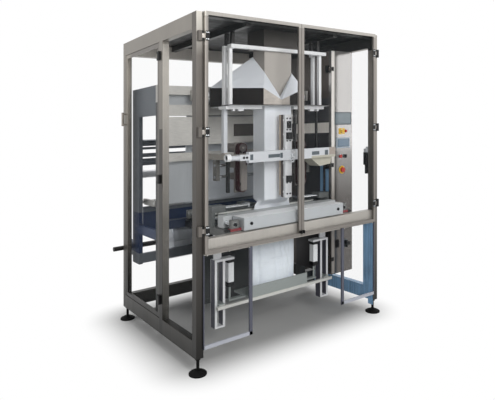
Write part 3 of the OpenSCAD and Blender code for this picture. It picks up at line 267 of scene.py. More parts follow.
# Parts of a finish: metallic, roughness, grain, shares of colour and roughness, relief, sockets.
# Metals keep the default IOR. Brushed grain is drawn 6 mm wide, coarser than the real 0.2 mm,
# because finer lines would not show at the picture's scale.
BRUSHED = (0.5, 0.38, (6, 6, 420), 0.13, 0.25, 0.05)
MIRRORED = (0.3, 0.45, (9, 9, 260), 0.1, 0.25, 0.04)
ANODISED = (0.1, 0.42, 40, 0.03, 0.15, 0)
MOULDED = (0, 0.45, 2, 0.2, 0.2, 0.06, {"Specular IOR Level": 0.25})
GLASS = (0, 0.12, 60, 0.05, 0.3, 0, {"IOR": 1.5})
SOFT_SHINE = {"Specular IOR Level": 0.2}
SHEEN = {"Specular IOR Level": 0.4}
MILKY = {"Subsurface Weight": 0.12, "Subsurface Radius": (0.02, 0.02, 0.024), **SHEEN}
SURFACES = {
    # Brushed stainless tube: long upright streaks, warm grey, and a painted reflection of the dark
    # floor that darkens it towards the bottom
    "steel": ("brushed_stainless_tube", "steel", 0.5, 0.4, (6, 6, 420), 0.13, 0.25, 0.05),
    # Door tube: the same brushing, with painted light at the hinges and along the top rail; the
    # side door darker towards the bottom, a painted reflection of the dark floor, with painted
    # light on its rear part
    "doors": ("brushed_stainless_stile", "doors", *BRUSHED),
    "side_door": ("brushed_side_stile", "doors", *BRUSHED),
    # Polished stainless sheet: mirrors the room in front, with a painted reflection that makes it
    # darker below waist height
    "sheet": ("polished_stainless_sheet", "#aaa8a6", 0.7, 0.13, (9, 9, 260), 0.04, 0.25, 0),
    # The cabinet door's folded margin: the same sheet, blasted dull, in near-white painted light,
    # darker below waist height as painted reflection
    "margin": ("blasted_stainless_sheet", "#f0ece6", 0.1, 0.5, (9, 9, 260), 0.03, 0.2, 0.02),
    # The cabinet's inner side: painted reflection of the dark inside of the machine, in bands, with
    # one bright painted strip
    "cabinet": ("mirrored_stainless_sheet", "sheet", *MIRRORED),
    # Sheet that lies in the machine's own shade: dark brown-grey, painted shade
    "flange": ("shaded_stainless_sheet", "#4a4441", *MIRRORED),
    # Painted sheet behind the columns: even, cool grey
    "rear_sheet": ("painted_rear_sheet", "#b4b8bb", 0.1, 0.5, (9, 9, 260), 0.06, 0.2, 0.02),
    # Filling tube: even grey sheet, with brown painted shade where the roof stands over it
    "hopper": ("stainless_hopper_sheet", "hopper", 0.3, 0.45, (7, 7, 300), 0.05, 0.2, 0.03),
    # Nearly black steel: painted shade under the roof; the reel shaft shares it. Soft shine
    "roof": ("dark_steel_sheet", "roof", 0, 0.5, (90, 30, 60), 0.25, 0.3, 0, SOFT_SHINE),
    # Shoulder: sheet in black-brown painted shade, as its underside looks, with painted light on
    # the bare front under the film's fold
    "shoulder": (
        "hard_anodised_sheet", "shoulder", 0, 0.5, (60, 60, 30), 0.25, 0.3, 0, SOFT_SHINE,
    ),
    # Anodised aluminium extrusion: pale, even, satin
    "alloy": ("anodised_aluminium", "alloy", *ANODISED),
    # Seal bar: the same, with a dark brown side next to the heater
    "seal": ("anodised_seal_bar", "alloy", *ANODISED),
    # White-lacquered aluminium bars; painted shade on the foot plate and on the hangers above,
    # under the roof
    "collar": ("lacquered_aluminium", "#ecedee", 0, 0.35, 40, 0.02, 0.15, 0),
    # Gantry extrusion: pale front bar, the arms and bearing blocks behind it grey in painted shade
    "gantry": ("slotted_gantry_extrusion", "gantry", *ANODISED),
    # Slotted aluminium profile: bright front, painted shade on the grooved side faces
    "profile": ("slotted_aluminium_profile", "alloy", *ANODISED),
    # Milled steel: fine cross grain and a dull shine, dark below the jaws in painted shade
    "machined": ("milled_steel", "machined", 0.3, 0.42, (30, 5, 5), 0.12, 0.25, 0.05),
    # Front jaw: the same milling, clean and pale
    "front_jaw": ("clean_milled_steel", "#c6c9ca", 0.2, 0.42, (30, 5, 5), 0.06, 0.2, 0.03),
    # Folded steel tray: dull grey with a pale bar along its front
    "tray": ("dull_steel_sheet", "#8f9593", 0.3, 0.45, (40, 8, 8), 0.06, 0.2, 0.04),
    # Blasted and oiled steel: brown-grey, no grain
    "carriage": ("blasted_steel", "carriage", 0.2, 0.5, 5, 0.08, 0.2, 0.04),
    # Blackened steel of the pulleys: almost even, dull
    "pulley": ("blackened_steel", "#3b3736", 0.2, 0.5, 5, 0.1, 0.2, 0.04),
    # Ground jaw: dark steel with two bright ground lands
    "jaw": ("ground_jaw_steel", "#4c4f4e", 0.3, 0.42, (40, 5, 5), 0.15, 0.25, 0.05),
    # Bead-blasted aluminium covers: pale blue-grey with no grain, a painted highlight along the top
    "cover": ("blasted_aluminium", "#b7bbbe", 0.1, 0.45, 5, 0.03, 0.15, 0.03),
    # Hard chrome rods: bright and smooth
    "chrome": ("hard_chrome", "#c3c6c8", 0.95, 0.14, 60, 0.05, 0.3, 0),
    # Painted grey sheet of the unwinder, with blue film left on its lower part
    "unwinder": ("painted_grey_sheet", "unwinder", 0.2, 0.45, (25, 160, 25), 0.1, 0.2, 0.03),
    # Low-density polyethylene: milky white, soft sheen, light passes a little
    "film": ("polyethylene_film", "film", 0, 0.32, (120, 120, 26), 0.025, 0.2, 0.8, MILKY),
    # The bag's film: a little bluer over its filling, darker towards the jaws in painted shade
    "bag": ("polyethylene_bag", "#e4ebf2", 0, 0.32, (120, 120, 26), 0.04, 0.2, 0.8, MILKY),
    # The same film stretched between the rollers: greyer, partly as thinner film and partly painted
    # shade
    "web": ("stretched_film", "#ccd1d7", 0, 0.3, (120, 120, 26), 0.05, 0.2, 0.6, SHEEN),
    # The same film wound up: fine lines along the roll, glossier
    "film_roll": (
        "wound_film", "film", 0, 0.28, (500, 3, 3), 0.05, 0.2, 0.05, {"Specular IOR Level": 0.5},
    ),
    # Clear polycarbonate sheet: only its gloss and a faint grey show
    "clear": (
        "clear_polycarbonate", "#5c666c", 0, 0.05, 300, 0.02, 0.2, 0,
        {"Alpha": 0.025, "IOR": 1.58},
    ),
    # Sawn polycarbonate edge: grey-blue and dull; the lower edge paler, painted light
    "clear_edge": ("polycarbonate_edge", "#4a4c5a", 0, 0.3, 3, 0.12, 0.2, 0.05),
    "clear_rim": ("polycarbonate_lower_edge", "#aeb1ba", 0, 0.3, 3, 0.08, 0.2, 0.05),
    # Moulded black ABS: fine spark-eroded texture
    "black": ("moulded_black_plastic", "#0e0e0f", *MOULDED),
    # Hinges and handles: the same plastic, but the left hinges' fixed halves are bare steel in the
    # front left post's painted shade
    "hinges": ("hinge_plastic", "#0e0e0f", *MOULDED),
    # Black rubber of the feet: dull
    "rubber": (
        "foot_rubber", "#0d0d0d", 0, 0.7, 8, 0.3, 0.15, 0.1, {"Specular IOR Level": 0.1},
    ),
    # Silicone belts: oxblood red, cross-ribbed every 8 mm, drawn in relief by the noise
    "belt": (
        "belt_rubber", "belt", 0, 0.6, (20, 60, 8), 0.25, 0.15, 0.4, {"Specular IOR Level": 0.15},
    ),
    # White stove-enamelled cylinder barrels; those beside the jaws are dark grey
    "white": ("enamelled_aluminium", "#e4e6e8", 0, 0.3, 30, 0.02, 0.2, 0),
    # Heat-stained copper alloy of the seal's heater: brown streaks down a pale tan
    "heater": ("heat_stained_copper", "#b8a897", 0.2, 0.45, (8, 8, 50), 0.3, 0.2, 0.05),
    # Blue polyethylene film stuck on the steel: upright streaks of painted reflection and small
    # bubbles
    "protective": ("blue_protective_film", "protective", 0, 0.22, (8, 8, 200), 0.42, 0.3, 0.5),
    # Bezels of the screens: dull moulded grey, and a paler blue-grey
    "bezel": ("grey_bezel_plastic", "#4c555b", 0, 0.4, 2, 0.06, 0.15, 0.03),
    "pale_bezel": ("pale_bezel_plastic", "#a7b4c0", 0, 0.4, 2, 0.05, 0.15, 0.03),
    # Display glass at rest: grey-blue, glossy
    "display": ("display_glass", "#7b878d", *GLASS),
    "display_blue": ("display_glass_blue", "#6d8397", *GLASS),
    # Button plastic: strong colour, soft gloss
    "red": ("red_button_plastic", "#b5241d", 0, 0.28, 4, 0.06, 0.15, 0.02),
    "yellow": ("yellow_button_plastic", "#e0b429", 0, 0.3, 4, 0.06, 0.15, 0.02),
    # Cast polyurethane clamps: dull red
    "clamp": ("red_polyurethane", "#7c2c32", 0, 0.5, 4, 0.08, 0.15, 0.03),
    # Wound brown paper of the roll's core
    "paper": ("core_paper", "#9a7b57", 0, 0.8, 5, 0.15, 0.1, 0.1),
    # Grey moulded cases of drives and breakers
    "modules": ("grey_case_plastic", "#a9aaa6", 0, 0.5, 3, 0.08, 0.15, 0.04),
}
# Painted reflection and shade by height: colours that a finish goes to, the height in mm where it
# is reached and the height of its own
GRADES = {
    "steel": ("#201f1c", 100, 2050),
    "side_door": ("#171614", 150, 2050),
    "sheet": ("#66625f", 900, 1330),
    "margin": ("#8d8781", 900, 1330),
    "bag": ("#6f7778", 735, 590),
}


def patch(colour, *regions, on=None, soft=0.6):
    """Row of PATCHES: another colour in boxes, on the finish's own colour or on another one."""
    return colour, regions, on, soft


# Places with another colour, in boxes: many are painted light, shade and reflection, some the
# parts' own colours
# Painted shade of the front left post
CORNER_PAINTED_SHADE = "#69645f"
# The front beam's painted light goes over the graded tube's colour, with its painted floor
# reflection
BEAM_GROUND = "#5d5a55"  # the graded tube's colour at the front beam's height
PATCHES = {
    "steel": [
        # Painted light on the front beam, painted shade on the rails under the roof, painted light
        # on the front of the rear rail
        patch("#aeaaa3", ((-769.5, -600, 700), (769.5, -544, 830)), on=BEAM_GROUND),
        patch("#2c2b29", ((-769, -600, 2080), (771.5, 543, 2202))),
        patch("#dcd6ce", ((-769, 543, 2080), (769, 546.5, 2202))),
        # Front left post in painted shade, a painted highlight on its top and painted shade in the
        # line beside the door
        patch(CORNER_PAINTED_SHADE, ((-825, -600, 60), (-769.5, -540, 2202))),
        patch("#bdb9b1", ((-819.5, -597, 1930), (-777, -593, 2600)), on=CORNER_PAINTED_SHADE, soft=(1, 1, 240)),
        patch("#2d2a28", ((-776.5, -597, 60), (-769, -593, 2202)), on=CORNER_PAINTED_SHADE),
        # Left middle post: painted shade on its outer face, painted light on its front face
        patch("#4f4b47", ((-825, -130, 60), (-818.5, -70, 1500))),
        patch("#b6b1a9", ((-818, -130, 60), (-765, -122, 2080))),
    ],
    "doors": [
        # Painted light on the upper ends of the stiles, the left stile and the top rail
        patch("#b3afa9", ((-800, -625, 1990), (800, -590, 2169)), soft=30),
        patch("#a6a099", ((-800, -625, 700), (-764, -590, 2800)), soft=(0.6, 0.6, 600)),
        patch("#a39f99", ((-800, -625, 2170), (800, -590, 2202))),
    ],
    # Painted light on the side door's rear part
    "side_door": [patch("#a0998f", ((-900, 420, 500), (-700, 650, 2300)), soft=70)],
    # Painted shade in the strip left of the cabinet door
    "sheet": [patch("#3d3835", ((530, -353, 280), (555.8, -320, 2101)))],
    # Painted reflection in bands on the cabinet's inner side, one of them bright
    "cabinet": [
        patch(code, ((555, -324, low), (556.6, 76, high)), soft=0.2)
        for code, low, high in (
            ("#5a524d", 1720, 2101), ("#46464a", 1520, 1720),
            ("#fbf6ee", 1436, 1520), ("#2f2e31", 290, 1436),
        )
    ],
    # Painted shade on the tube's top under the roof
    "hopper": [patch("#3f3b37", ((-300, -520, 2050), (300, -60, 2230)), soft=25)],
    # Painted light on the shoulder's front under the film's fold
    "shoulder": [patch("#c4bdb5", ((-184, -445, 1640), (70, -396, 1772)))],
    "seal": [patch("#4d4340", ((-36, -458, 980), (-6, -428, 1580)))],
    "collar": [
        # Painted shade on the foot plate and on the hangers under the roof
        patch(
            "#1f1c1a",
            ((-455, -435, 1644.4), (455, -110, 1653)), ((-600, -450, 2069), (600, -200, 2202)),
        ),
    ],
    "gantry": [
        # Left arm in painted shade, tapered bracket and end block on the right, bearing blocks in
        # painted shade
        patch("#99948d", ((-460, -484, 1268), (-400, 80, 1320))),
        patch("#b5b2a4", ((185, -522, 1150), (440, -320, 1272))),
        patch("#a0958c", ((364, -522, 1272), (455, -484, 1330))),
        patch(
            "#605e5a", ((-460, -484, 1000), (-400, 80, 1268)), ((400, -300, 1000), (460, 80, 1320)),
        ),
    ],
    "profile": [
        # Painted shade on the columns' grooved side faces
        patch("#4b4b56", ((x - 1.0, -334, 120), (x + 0.8, -282, 600)))
        for x in (-531, -467, 449, 513)
    ],
    "machined": [
        # Painted shade on the columns and bars below the jaws; left arm, left column, blue bar,
        # table round the jaws
        patch("#343636", ((-800, 60, 0), (800, 150, 832))),
        patch("#3a3e45", ((-700, -100, 760), (-440, 74, 832))),
        patch("#4a4a48", ((-752, 70, 832), (-692, 140, 1700))),
        patch("#6588c7", ((-700, 60, 760), (-440, 150, 832))),
        patch("#6a6b69", ((-600, -560, 700), (600, 74, 910))),
    ],
    "tray": [patch("#c9c9c4", ((-540, -383, 262), (540, -359, 290)))],
    "jaw": [
        patch(
            "#d9dad6",
            ((-480, -260, 884), (480, -180, 897)), ((-480, -260, 858), (480, -180, 870)),
        ),
    ],
    # Painted highlight along the cover's top
    "cover": [patch("#fafcfd", ((-460, -580, 903.2), (460, -430, 905)))],
    "unwinder": [patch("#1d3052", ((-900, 100, 535), (900, 800, 855)))],
    # Left hinges' fixed halves in the front left post's painted shade
    "hinges": [patch(CORNER_PAINTED_SHADE, ((-816, -619, 780), (-792.2, -594, 2110)))],
    "white": [patch("#5a5d5c", ((-900, -600, 700), (900, 300, 1100)))],
}


def make_materials(colours):
    """All finishes by key: the surface, then its grade and its patches."""
    made = {}
    for key, (name, code, *values) in SURFACES.items():
        base = linear(code) if code.startswith("#") else tuple(getattr(colours, code))
        material = finish(name, base, *values)
        if key in GRADES:
            end, low, high = GRADES[key]
            graded(material, base, linear(end), low, high)
        for colour, regions, on, soft in PATCHES.get(key, ()):
            patched(material, linear(on) if on else base, linear(colour), regions, soft)
        made[key] = material
    return made


FINISHES = {
    "steel": "guard_frame",
    "doors": "left_door_frame right_door_frame",
    "side_door": "side_door_frame",
    "sheet": "cabinet_door",
    "cabinet": "cabinet_body",
    "hopper": "fill_tube",
    "roof": "roof_panel reel_shaft",
    "shoulder": "forming_shoulder",
    "collar": "collar_frame",
    "gantry": "gantry",
    "alloy": "idler_roller feed_roller entry_roller dancer_roller",
    "seal": "seal_bar",
    "profile": "lift_columns",
    "machined": "main_frame knife dancer_arms guard_screws",
    "front_jaw": "front_jaw",
    "tray": "bag_trough",
    "carriage": "left_belt_carriage right_belt_carriage",
    "pulley": "left_drive_pulley left_idler_pulley right_drive_pulley right_idler_pulley",
    "jaw": "rear_jaw",
    "cover": "front_jaw_cover",
    "chrome": "guide_rods left_pusher right_pusher",
    "unwinder": "unwinder_frame",
    "film": "film_tube film_web bag",
    "film_roll": "film_roll",
    "clear": "guard_panes left_door_pane right_door_pane side_door_pane",
    "black": "hanger_rods left_latch right_latch selector_knob main_switch",
    "hinges": "door_fittings",
    "rubber": "levelling_feet",
    "belt": "left_belt right_belt",
    "white": "air_cylinders",
    "heater": "seal_heater",
    "bezel": "touch_screens",
    "red": "emergency_stop stop_button",
    "yellow": "reset_button",
    "modules": "control_modules",
}
# Materials by finish key, for the solids and the added pieces
MATERIALS = {}


def grid_faces(rows, columns, closed):
    """Quads of a grid of points, joined across the columns' ends where closed."""
    i = np.arange(rows - 1)[:, None] * columns
    j = np.arange(columns if closed else columns - 1)[None, :]
    k = (j + 1) % columns
    return np.stack([i + j, i + k, i + columns + k, i + columns + j], -1).reshape(-1, 4)


def lofted(points, closed=True):
    """Shape through rows of points, an array of (rows, columns, 3)."""
    rows, columns = points.shape[:2]
    return points.reshape(-1, 3), grid_faces(rows, columns, closed)


def boxes(*pairs):
    """Boxes between pairs of opposite corners."""
    corners = np.sort(np.array(pairs, float), 1)
    base = [[0, 0], [1, 0], [1, 1], [0, 1]]
    pick = np.array([corner + [level] for level in (0, 1) for corner in base])
    sides = np.array(
        [[0, 3, 2, 1], [4, 5, 6, 7], [0, 1, 5, 4], [1, 2, 6, 5], [2, 3, 7, 6], [3, 0, 4, 7]]
    )
    points = corners[:, pick, np.arange(3)]
    steps = 8 * np.arange(len(corners))[:, None, None]
    return points.reshape(-1, 3), (sides[None] + steps).reshape(-1, 4)


def mirrored(*pairs):
    """Pairs of corners on the left and on the right."""
    return [np.multiply(pair, (side, 1, 1)) for side in (-1, 1) for pair in pairs]


def turned(profile, at, axis, sides=24):
    """Profile of (radius, place along the axis) turned about axis "x", "y" or "z" through at."""
    radius, along = np.array(profile, float).T
    angle = np.arange(sides) / sides * 2 * math.pi
    u = radius[:, None] * np.cos(angle)
    v = radius[:, None] * np.sin(angle)
    w = np.broadcast_to(along[:, None], u.shape)
    order = {"z": (u, v, w), "x": (w, u, v), "y": (v, w, u)}[axis]
    return lofted(np.stack(order, -1) + np.array(at, float))


def ring(inner, outer, low, high, at, axis, sides=32):
    """Flat ring between two radii and two places along the axis."""
    profile = [(inner, low), (outer, low), (outer, high), (inner, high), (inner, low)]
    return turned(profile, at, axis, sides)


def joined(*shapes):
    """Several shapes as one."""
    starts = np.cumsum([0] + [len(points) for points, _ in shapes[:-1]])
    return (
        np.concatenate([points for points, _ in shapes]),
        np.concatenate([faces + start for (_, faces), start in zip(shapes, starts)]),
    )


def added(name, data):
    """New object in the scene."""
    made = bpy.data.objects.new(name, data)
    bpy.context.scene.collection.objects.link(made)
    return made


def piece(name, shape, material, body="machine", bevel=0.0, thick=0.0, slot=None):
    """Makes a mesh piece from a shape in millimetres, merges its poles and rides it on a body.

    bevel and thick are in metres; slot is not used.
    """
    points, faces = shape
    mesh = bpy.data.meshes.new(name)
    mesh.from_pydata(place(points).tolist(), [], faces.tolist())
    work = bmesh.new()
    work.from_mesh(mesh)
    bmesh.ops.remove_doubles(work, verts=work.verts, dist=MERGE_DISTANCE)
    bmesh.ops.recalc_face_normals(work, faces=work.faces)
    work.to_mesh(mesh)
    work.free()
    mesh.shade_smooth()
    mesh.set_sharp_from_angle(angle=SMOOTH_ANGLE)
    made = added(name, mesh)
    mesh.materials.append(MATERIALS[material])
    if thick:
        wall = made.modifiers.new("wall", "SOLIDIFY")
        wall.thickness = thick
        wall.offset = 0
    if bevel:
        edge = made.modifiers.new("edge", "BEVEL")
        edge.width = bevel
        edge.segments = 2
        edge.limit_method = "ANGLE"
        edge.angle_limit = BEVEL_ANGLE
    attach(made, body)
    return made


def blocks(name, material, bevel, *pairs, **more):
    """Piece made of boxes, its bevel in shares of the edge rounding."""
    bevel *= bpy.context.scene.sealer_sizes.edge
    return piece(name, boxes(*pairs), material, bevel=bevel, **more)


def cap_screws(radius, height, places):
    """Socket heads of screws about Y, their faces towards -Y, with a hollow in each."""
    shares = [(0, 0), (1, 0), (1, 0.85), (0.88, 1), (0.5, 1), (0.5, 0.45), (0, 0.45)]
    profile = np.multiply(shares, (radius, -height))
    return joined(*(turned(profile, at, "y", 12) for at in places))


def smooth(x):
    """Smooth step from 0 to 1: 3 x^2 - 2 x^3."""
    x = np.clip(x, 0, 1)
    return x * x * (3 - 2 * x)


class SEALER_OT_finishes(bpy.types.Operator):
    """Give every solid its material"""

    bl_idname = "sealer.finishes"
    bl_label = "Finishes"

    def execute(self, context):
        MATERIALS.update(make_materials(context.scene.sealer_colours))
        for name, members in FINISHES.items():
            for member in members.split():
                NODES[member].data.materials.clear()
                NODES[member].data.materials.append(MATERIALS[name])
        return {"FINISHED"}


# Forming shoulder: edge round the tube and outer edge, from the rear right corner forwards
CROWN = [
    (130, -217, 2018), (130, -363, 1889), (0, -372, 1701), (-130, -363, 1889), (-130, -217, 2018),
]
SKIRT = [
    (450, -135, 1788), (185, -425, 1768), (0, -400, 1690), (-185, -425, 1768), (-450, -135, 1788),
]
RISING_RIDGE = [True, False, True, False, True]
FILM_WIDTH = 860
TUBE_Y = -290


def loop_points(corners, steps):
    """Points along a closed loop of corners, steps on each side."""
    a = np.array(corners, float)
    b = np.roll(a, -1, 0)
    t = np.arange(steps)[None, :, None] / steps
    return (a[:, None] * (1 - t) + b[:, None] * t).reshape(-1, 3)


def film_on_shoulder(lift, ripple):
    """Film over the shoulder, drawn tight from the outer edge to the crown, then down inside.

    P(u, v) = (1 - v) skirt(u) + v crown(u) + fold(u, v) + n (lift + ripple). The fold makes each
    side two flat triangles that meet in a ridge: the side's twist times min(u v, (1 - u)(1 - v)),
    or min(u (1 - v), (1 - u) v) where the ridge runs the other way. n is the surface's normal and
    the ripple a sum of two sines that fades to nothing at both edges.
    """
    steps, rows = 30, 24
    skirt = loop_points(SKIRT, steps)
    crown = loop_points(CROWN, steps)
    v = np.linspace(0, 1, rows)[:, None, None]
    flat = skirt[None] * (1 - v) + crown[None] * v
    low, high = np.array(SKIRT, float), np.array(CROWN, float)
    twist = low - np.roll(low, -1, 0) - high + np.roll(high, -1, 0)
    u = np.tile(np.arange(steps) / steps, len(low))[None, :, None]
    sinking = np.minimum(u * v, (1 - u) * (1 - v))
    rising = np.minimum(u * (1 - v), (1 - u) * v)
    up_ridge = np.repeat(RISING_RIDGE, steps)[None, :, None]
    flat = flat + np.repeat(twist, steps, 0)[None] * np.where(up_ridge, rising, -sinking)
    across = np.roll(flat, -1, 1) - np.roll(flat, 1, 1)
    normal = np.cross(across, np.gradient(flat, axis=0))
    normal /= np.linalg.norm(normal, axis=2, keepdims=True)
    inside = [0, -250, 1500]
    normal *= np.sign(np.sum(normal * (flat - inside), 2, keepdims=True))
    turn = np.arange(flat.shape[1])[None, :, None] / flat.shape[1] * 2 * math.pi
    wave = 0.5 + 0.3 * np.sin(14 * turn + 5 * v) + 0.2 * np.sin(31 * turn - 9 * v)
    body = flat + normal * (lift + ripple * wave * np.sin(math.pi * v) ** 1.5)
    tuck = np.array([0.014, 0.028, 0])
    inner = crown + (np.array([0, TUBE_Y, 0]) - crown) * tuck
    top = body[-1] + (inner - crown) * 0.5 + [0, 0, 0.6]
    fall = [inner - [0, 0, depth] for depth in (3, 10)]
    return np.concatenate([body, [top], fall])


def resampled(points, count, closed):
    """Points at equal steps along a line of points."""
    path = np.concatenate([points, points[:1]]) if closed else points
    length = np.concatenate([[0], np.cumsum(np.linalg.norm(np.diff(path, axis=0), axis=1))])
    at = np.linspace(0, length[-1], count + int(closed))[:count]
    return np.stack([np.interp(at, length, column) for column in path.T], -1)


def rounded_loop(half_x, half_y, radius, count):
    """Rectangle with round corners as count points in (x, y), from the middle of its front."""
    turn = np.linspace(0, math.pi / 2, 7)
    quarter = np.stack([np.sin(turn), -np.cos(turn)], -1) * radius
    first = quarter + [half_x - radius, -half_y + radius]
    right = np.concatenate([first, first[::-1] * [1, -1]])
    loop = np.concatenate([[[0, -half_y]], right, [[0, half_y]], right[::-1] * [-1, 1]])
    return resampled(loop, count, True)


def film_tube_rows():
    """Film round the filling tube, drawn flat to the jaws.

    Each row is (1 - w) tube + w flat with w from 0 below the tube to 1 at the jaws. Side folds
    draw the flat film in by a fifth above the jaws, front folds draw the taper in by up to a
    sixth, and a lap 16 mm wide stands 0.4 mm proud down the front.
    """
    count = 220
    tube = rounded_loop(126.9, 70.0, 3, count)
    flat = rounded_loop(204.6, 1.3, 1.2, count)
    collar, taper, pinch, jaws = 1686, 970, 914, 863
    spans = ((collar, taper, 38), (taper - 3, pinch, 20), (pinch - 6, jaws, 10))
    z = np.concatenate([np.linspace(*span) for span in spans])
    w = smooth((taper - z) / (taper - pinch))[:, None, None]
    side_folds, front_folds, ripples = 0.195, 0.16, 0.012
    drawn = 1 - side_folds * smooth((z - jaws) / (pinch - 6 - jaws))
    narrow = np.stack([drawn, np.ones_like(z)], -1)[:, None]
    xy = tube[None] * (1 - w) + flat[None] * narrow * w
    free = (w * (1 - w) * 4)[:, :, 0]
    fold = 0.5 + 0.5 * np.sin(xy[:, :, 0] / 21 + 1.3 * np.sin(xy[:, :, 0] / 50))
    xy[:, :, 1] *= 1 - front_folds * free * fold
    slack_top, slack_reach = 1240, 240
    slack = smooth((slack_top - z) / slack_reach)[:, None] * (1 - w[:, :, 0])
    xy[:, :, 1] *= 1 - ripples * slack * (0.5 + 0.5 * np.sin(xy[:, :, 0] / 14))
    lap_half, lap_rise = 8, 0.4
    lap = (np.abs(xy[:, :, 0]) < lap_half) & (xy[:, :, 1] < 0)
    xy[:, :, 1] -= lap_rise * lap * (1 - w[:, :, 0])
    rows = np.zeros((len(z), count, 3))
    rows[:, :, :2] = xy + [0, TUBE_Y]
    rows[:, :, 2] = z[:, None]
    return rows


def heading(a, b):
    """Direction of the film between two rollers (centre, radius, side): sin of the angle between
    the line of centres and the film is the difference of the signed radii over the distance."""
    d = b[0] - a[0]
    return math.atan2(d[1], d[0]) - math.asin((b[2] * b[1] - a[2] * a[1]) / np.hypot(*d))


def leftward(angle):
    """Unit vector to the left of a direction."""
    return np.stack([-np.sin(angle), np.cos(angle)], -1)


def web_rows():
    """Film from the roll to the shoulder: straight runs and arcs round each roller, in (y, z)."""
    order = [
        ("film_roll", -1), ("idler_roller", 1), ("dancer_roller", -1), ("feed_roller", 1),
        ("entry_roller", -1),
    ]
    gap, shoulder_edge = 1.0, np.array([-133.0, 1788.0])
    arc, steps, columns = 24, 240, 16
    stops = []
    for name, side in order:
        low, high = measured(name)
        stops.append(((low + high)[1:] / 2, (high - low)[2] / 2 + gap, side))
    stops.append((shoulder_edge, 0.0, 1))
    runs = [heading(a, b) for a, b in zip(stops, stops[1:])]
    line = [stops[0][0] - stops[0][2] * stops[0][1] * leftward(np.array([runs[0]]))]
    for (centre, radius, side), h0, h1 in zip(stops[1:-1], runs, runs[1:]):
        turn = (h1 - h0) % (2 * math.pi)
        turn = turn if side > 0 else turn - 2 * math.pi
        line.append(centre - side * radius * leftward(np.linspace(h0, h0 + turn, arc)))
    line.append(stops[-1][0][None])
    path = resampled(np.concatenate(line), steps, False)
    x = np.linspace(-FILM_WIDTH / 2, FILM_WIDTH / 2, columns)
    rows = np.zeros((len(path), len(x), 3))
    rows[:, :, 0] = x
    rows[:, :, 1:] = path[:, None]
    return rows


class SEALER_OT_film(bpy.types.Operator):
    """Make the film from the roll over the shoulder and round the tube"""

    bl_idname = "sealer.film"
    bl_label = "Film"

    def execute(self, context):
        sizes = context.scene.sealer_sizes
        formed = film_on_shoulder(sizes.film_lift / MM, sizes.ripple / MM)
        rollers = ["idler_roller", "feed_roller", "entry_roller"]
        for name, rows, closed, material, solid, carried in (
            ("shoulder_film", formed, True, "film", None, ["forming_shoulder"]),
            ("tube_film", film_tube_rows(), True, "film", "film_tube", ["fill_tube"]),
            ("web_film", web_rows(), False, "web", "film_web", rollers),
        ):
            made = piece(name, lofted(rows, closed), material, thick=sizes.film_thickness)
            if solid:
                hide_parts(solid)
        return {"FINISHED"}


def bag_rows(depth):
    """Filled bag: lens-shaped rows that swell from the flat seal down to the trough.

    Each row is x = a cos t, y = b sin t |sin t|^-0.25, with b(z) = 1.4 + 52 (1 - s^2.4) for
    s from 0 at the bottom to 1 at the seal. Creases are Gaussian grooves along slanted lines.
    """
    count, folds = 180, 16
    t = np.arange(count) / count * 2 * math.pi
    bottom, seal, swell, flat = 301, 795, 52, 1.4
    foot = [(300.6, 0.0), (300.6, 0.5), (301.5, 0.86), (305, 0.95), (312, 0.99)]
    low, tucked = np.array(foot).T
    z = np.concatenate([low, np.linspace(322, seal, 60), np.linspace(seal + 4, 857, 16)])
    s = np.clip((z - bottom) / (seal - bottom), 0, 1)
    a = 199 + 6 * smooth(s * 1.6)
    b = flat + swell * (1 - s**2.4)
    inset = np.concatenate([tucked, np.ones(len(z) - len(foot))])
    x = (a * inset)[:, None] * np.cos(t)
    wave = np.sign(np.sin(t)) * np.abs(np.sin(t)) ** 0.75
    y = (b * np.minimum(1, inset * 1.02))[:, None] * wave
    rng = np.random.default_rng(11)
    groove = np.zeros_like(x)
    limits = ((-190, 190), (-0.45, 0.45), (7, 18), (0.3, 1))
    for top, lean, wide, strength in zip(*(rng.uniform(*pair, folds) for pair in limits)):
        line = top + lean * (seal - z)[:, None]
        groove += strength * np.exp(-(((x - line) / wide) ** 2))
    front = (np.sin(t) < 0)[None] * 0.6 + 0.4
    reach = ((0.35 + 0.65 * s) * (s < 0.999))[:, None]
    y *= 1 - np.clip(groove * front * (depth / swell) * reach, 0, 0.6)
    ridge_height, pitch = 0.35, 6
    ridge = np.where(z > seal + 5, ridge_height * np.sin(z / pitch * 2 * math.pi), 0)[:, None]
    rows = np.stack([x, y + ridge + TUBE_Y, np.broadcast_to(z[:, None], x.shape)], -1)
    return np.concatenate([rows, [rows[-1] * [1, 0, 1] + [0, TUBE_Y, 0.3]]])


class SEALER_OT_bag(bpy.types.Operator):
    """Make the filled bag in the trough"""

    bl_idname = "sealer.bag"
    bl_label = "Bag"

    def execute(self, context):
        sizes = context.scene.sealer_sizes
        bag = piece("filled_bag", lofted(bag_rows(sizes.fold_depth / MM)), "bag")
        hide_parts("bag")
        return {"FINISHED"}


class SEALER_OT_reel(bpy.types.Operator):
    """Make the wound roll and its core"""

    bl_idname = "sealer.reel"
    bl_label = "Film roll"

    def execute(self, context):
        low, high = measured("film_roll")
        at = (low + high) / 2 * [0, 1, 1]
        half, _, outer = (high - low) / 2
        core, paper, layers = 38.1, 44.0, 48
        radii = np.linspace(paper, outer - 0.6, layers)
        # The wound layers' edges stand out unevenly, up to 1 mm either way
        step = 0.5 * np.sin(radii * 1.9) + 0.4 * np.sin(radii * 0.63)
        left = np.stack([radii, -half + 1 + step], -1)
        side = [[outer, -half + 2], [outer, half - 2]]
        right = np.stack([radii, half - 1 - step], -1)[::-1]
        profile = np.concatenate([left, side, right, left[:1]])
        roll = piece("wound_roll", turned(profile, at, "x", 96), "film_roll", "reel")
        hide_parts("film_roll")
        piece("roll_core", ring(core, paper - 0.2, -half, half, at, "x", 48), "paper", "reel")
        return {"FINISHED"}


DOOR, DOOR_FACE = "cabinet_door", -350.0


def front_middle(name):
    """Middle of a CAD node as seen from the front, at y = 0."""
    low, high = measured(name)
    return (low + high) / 2 * [1, 0, 1]


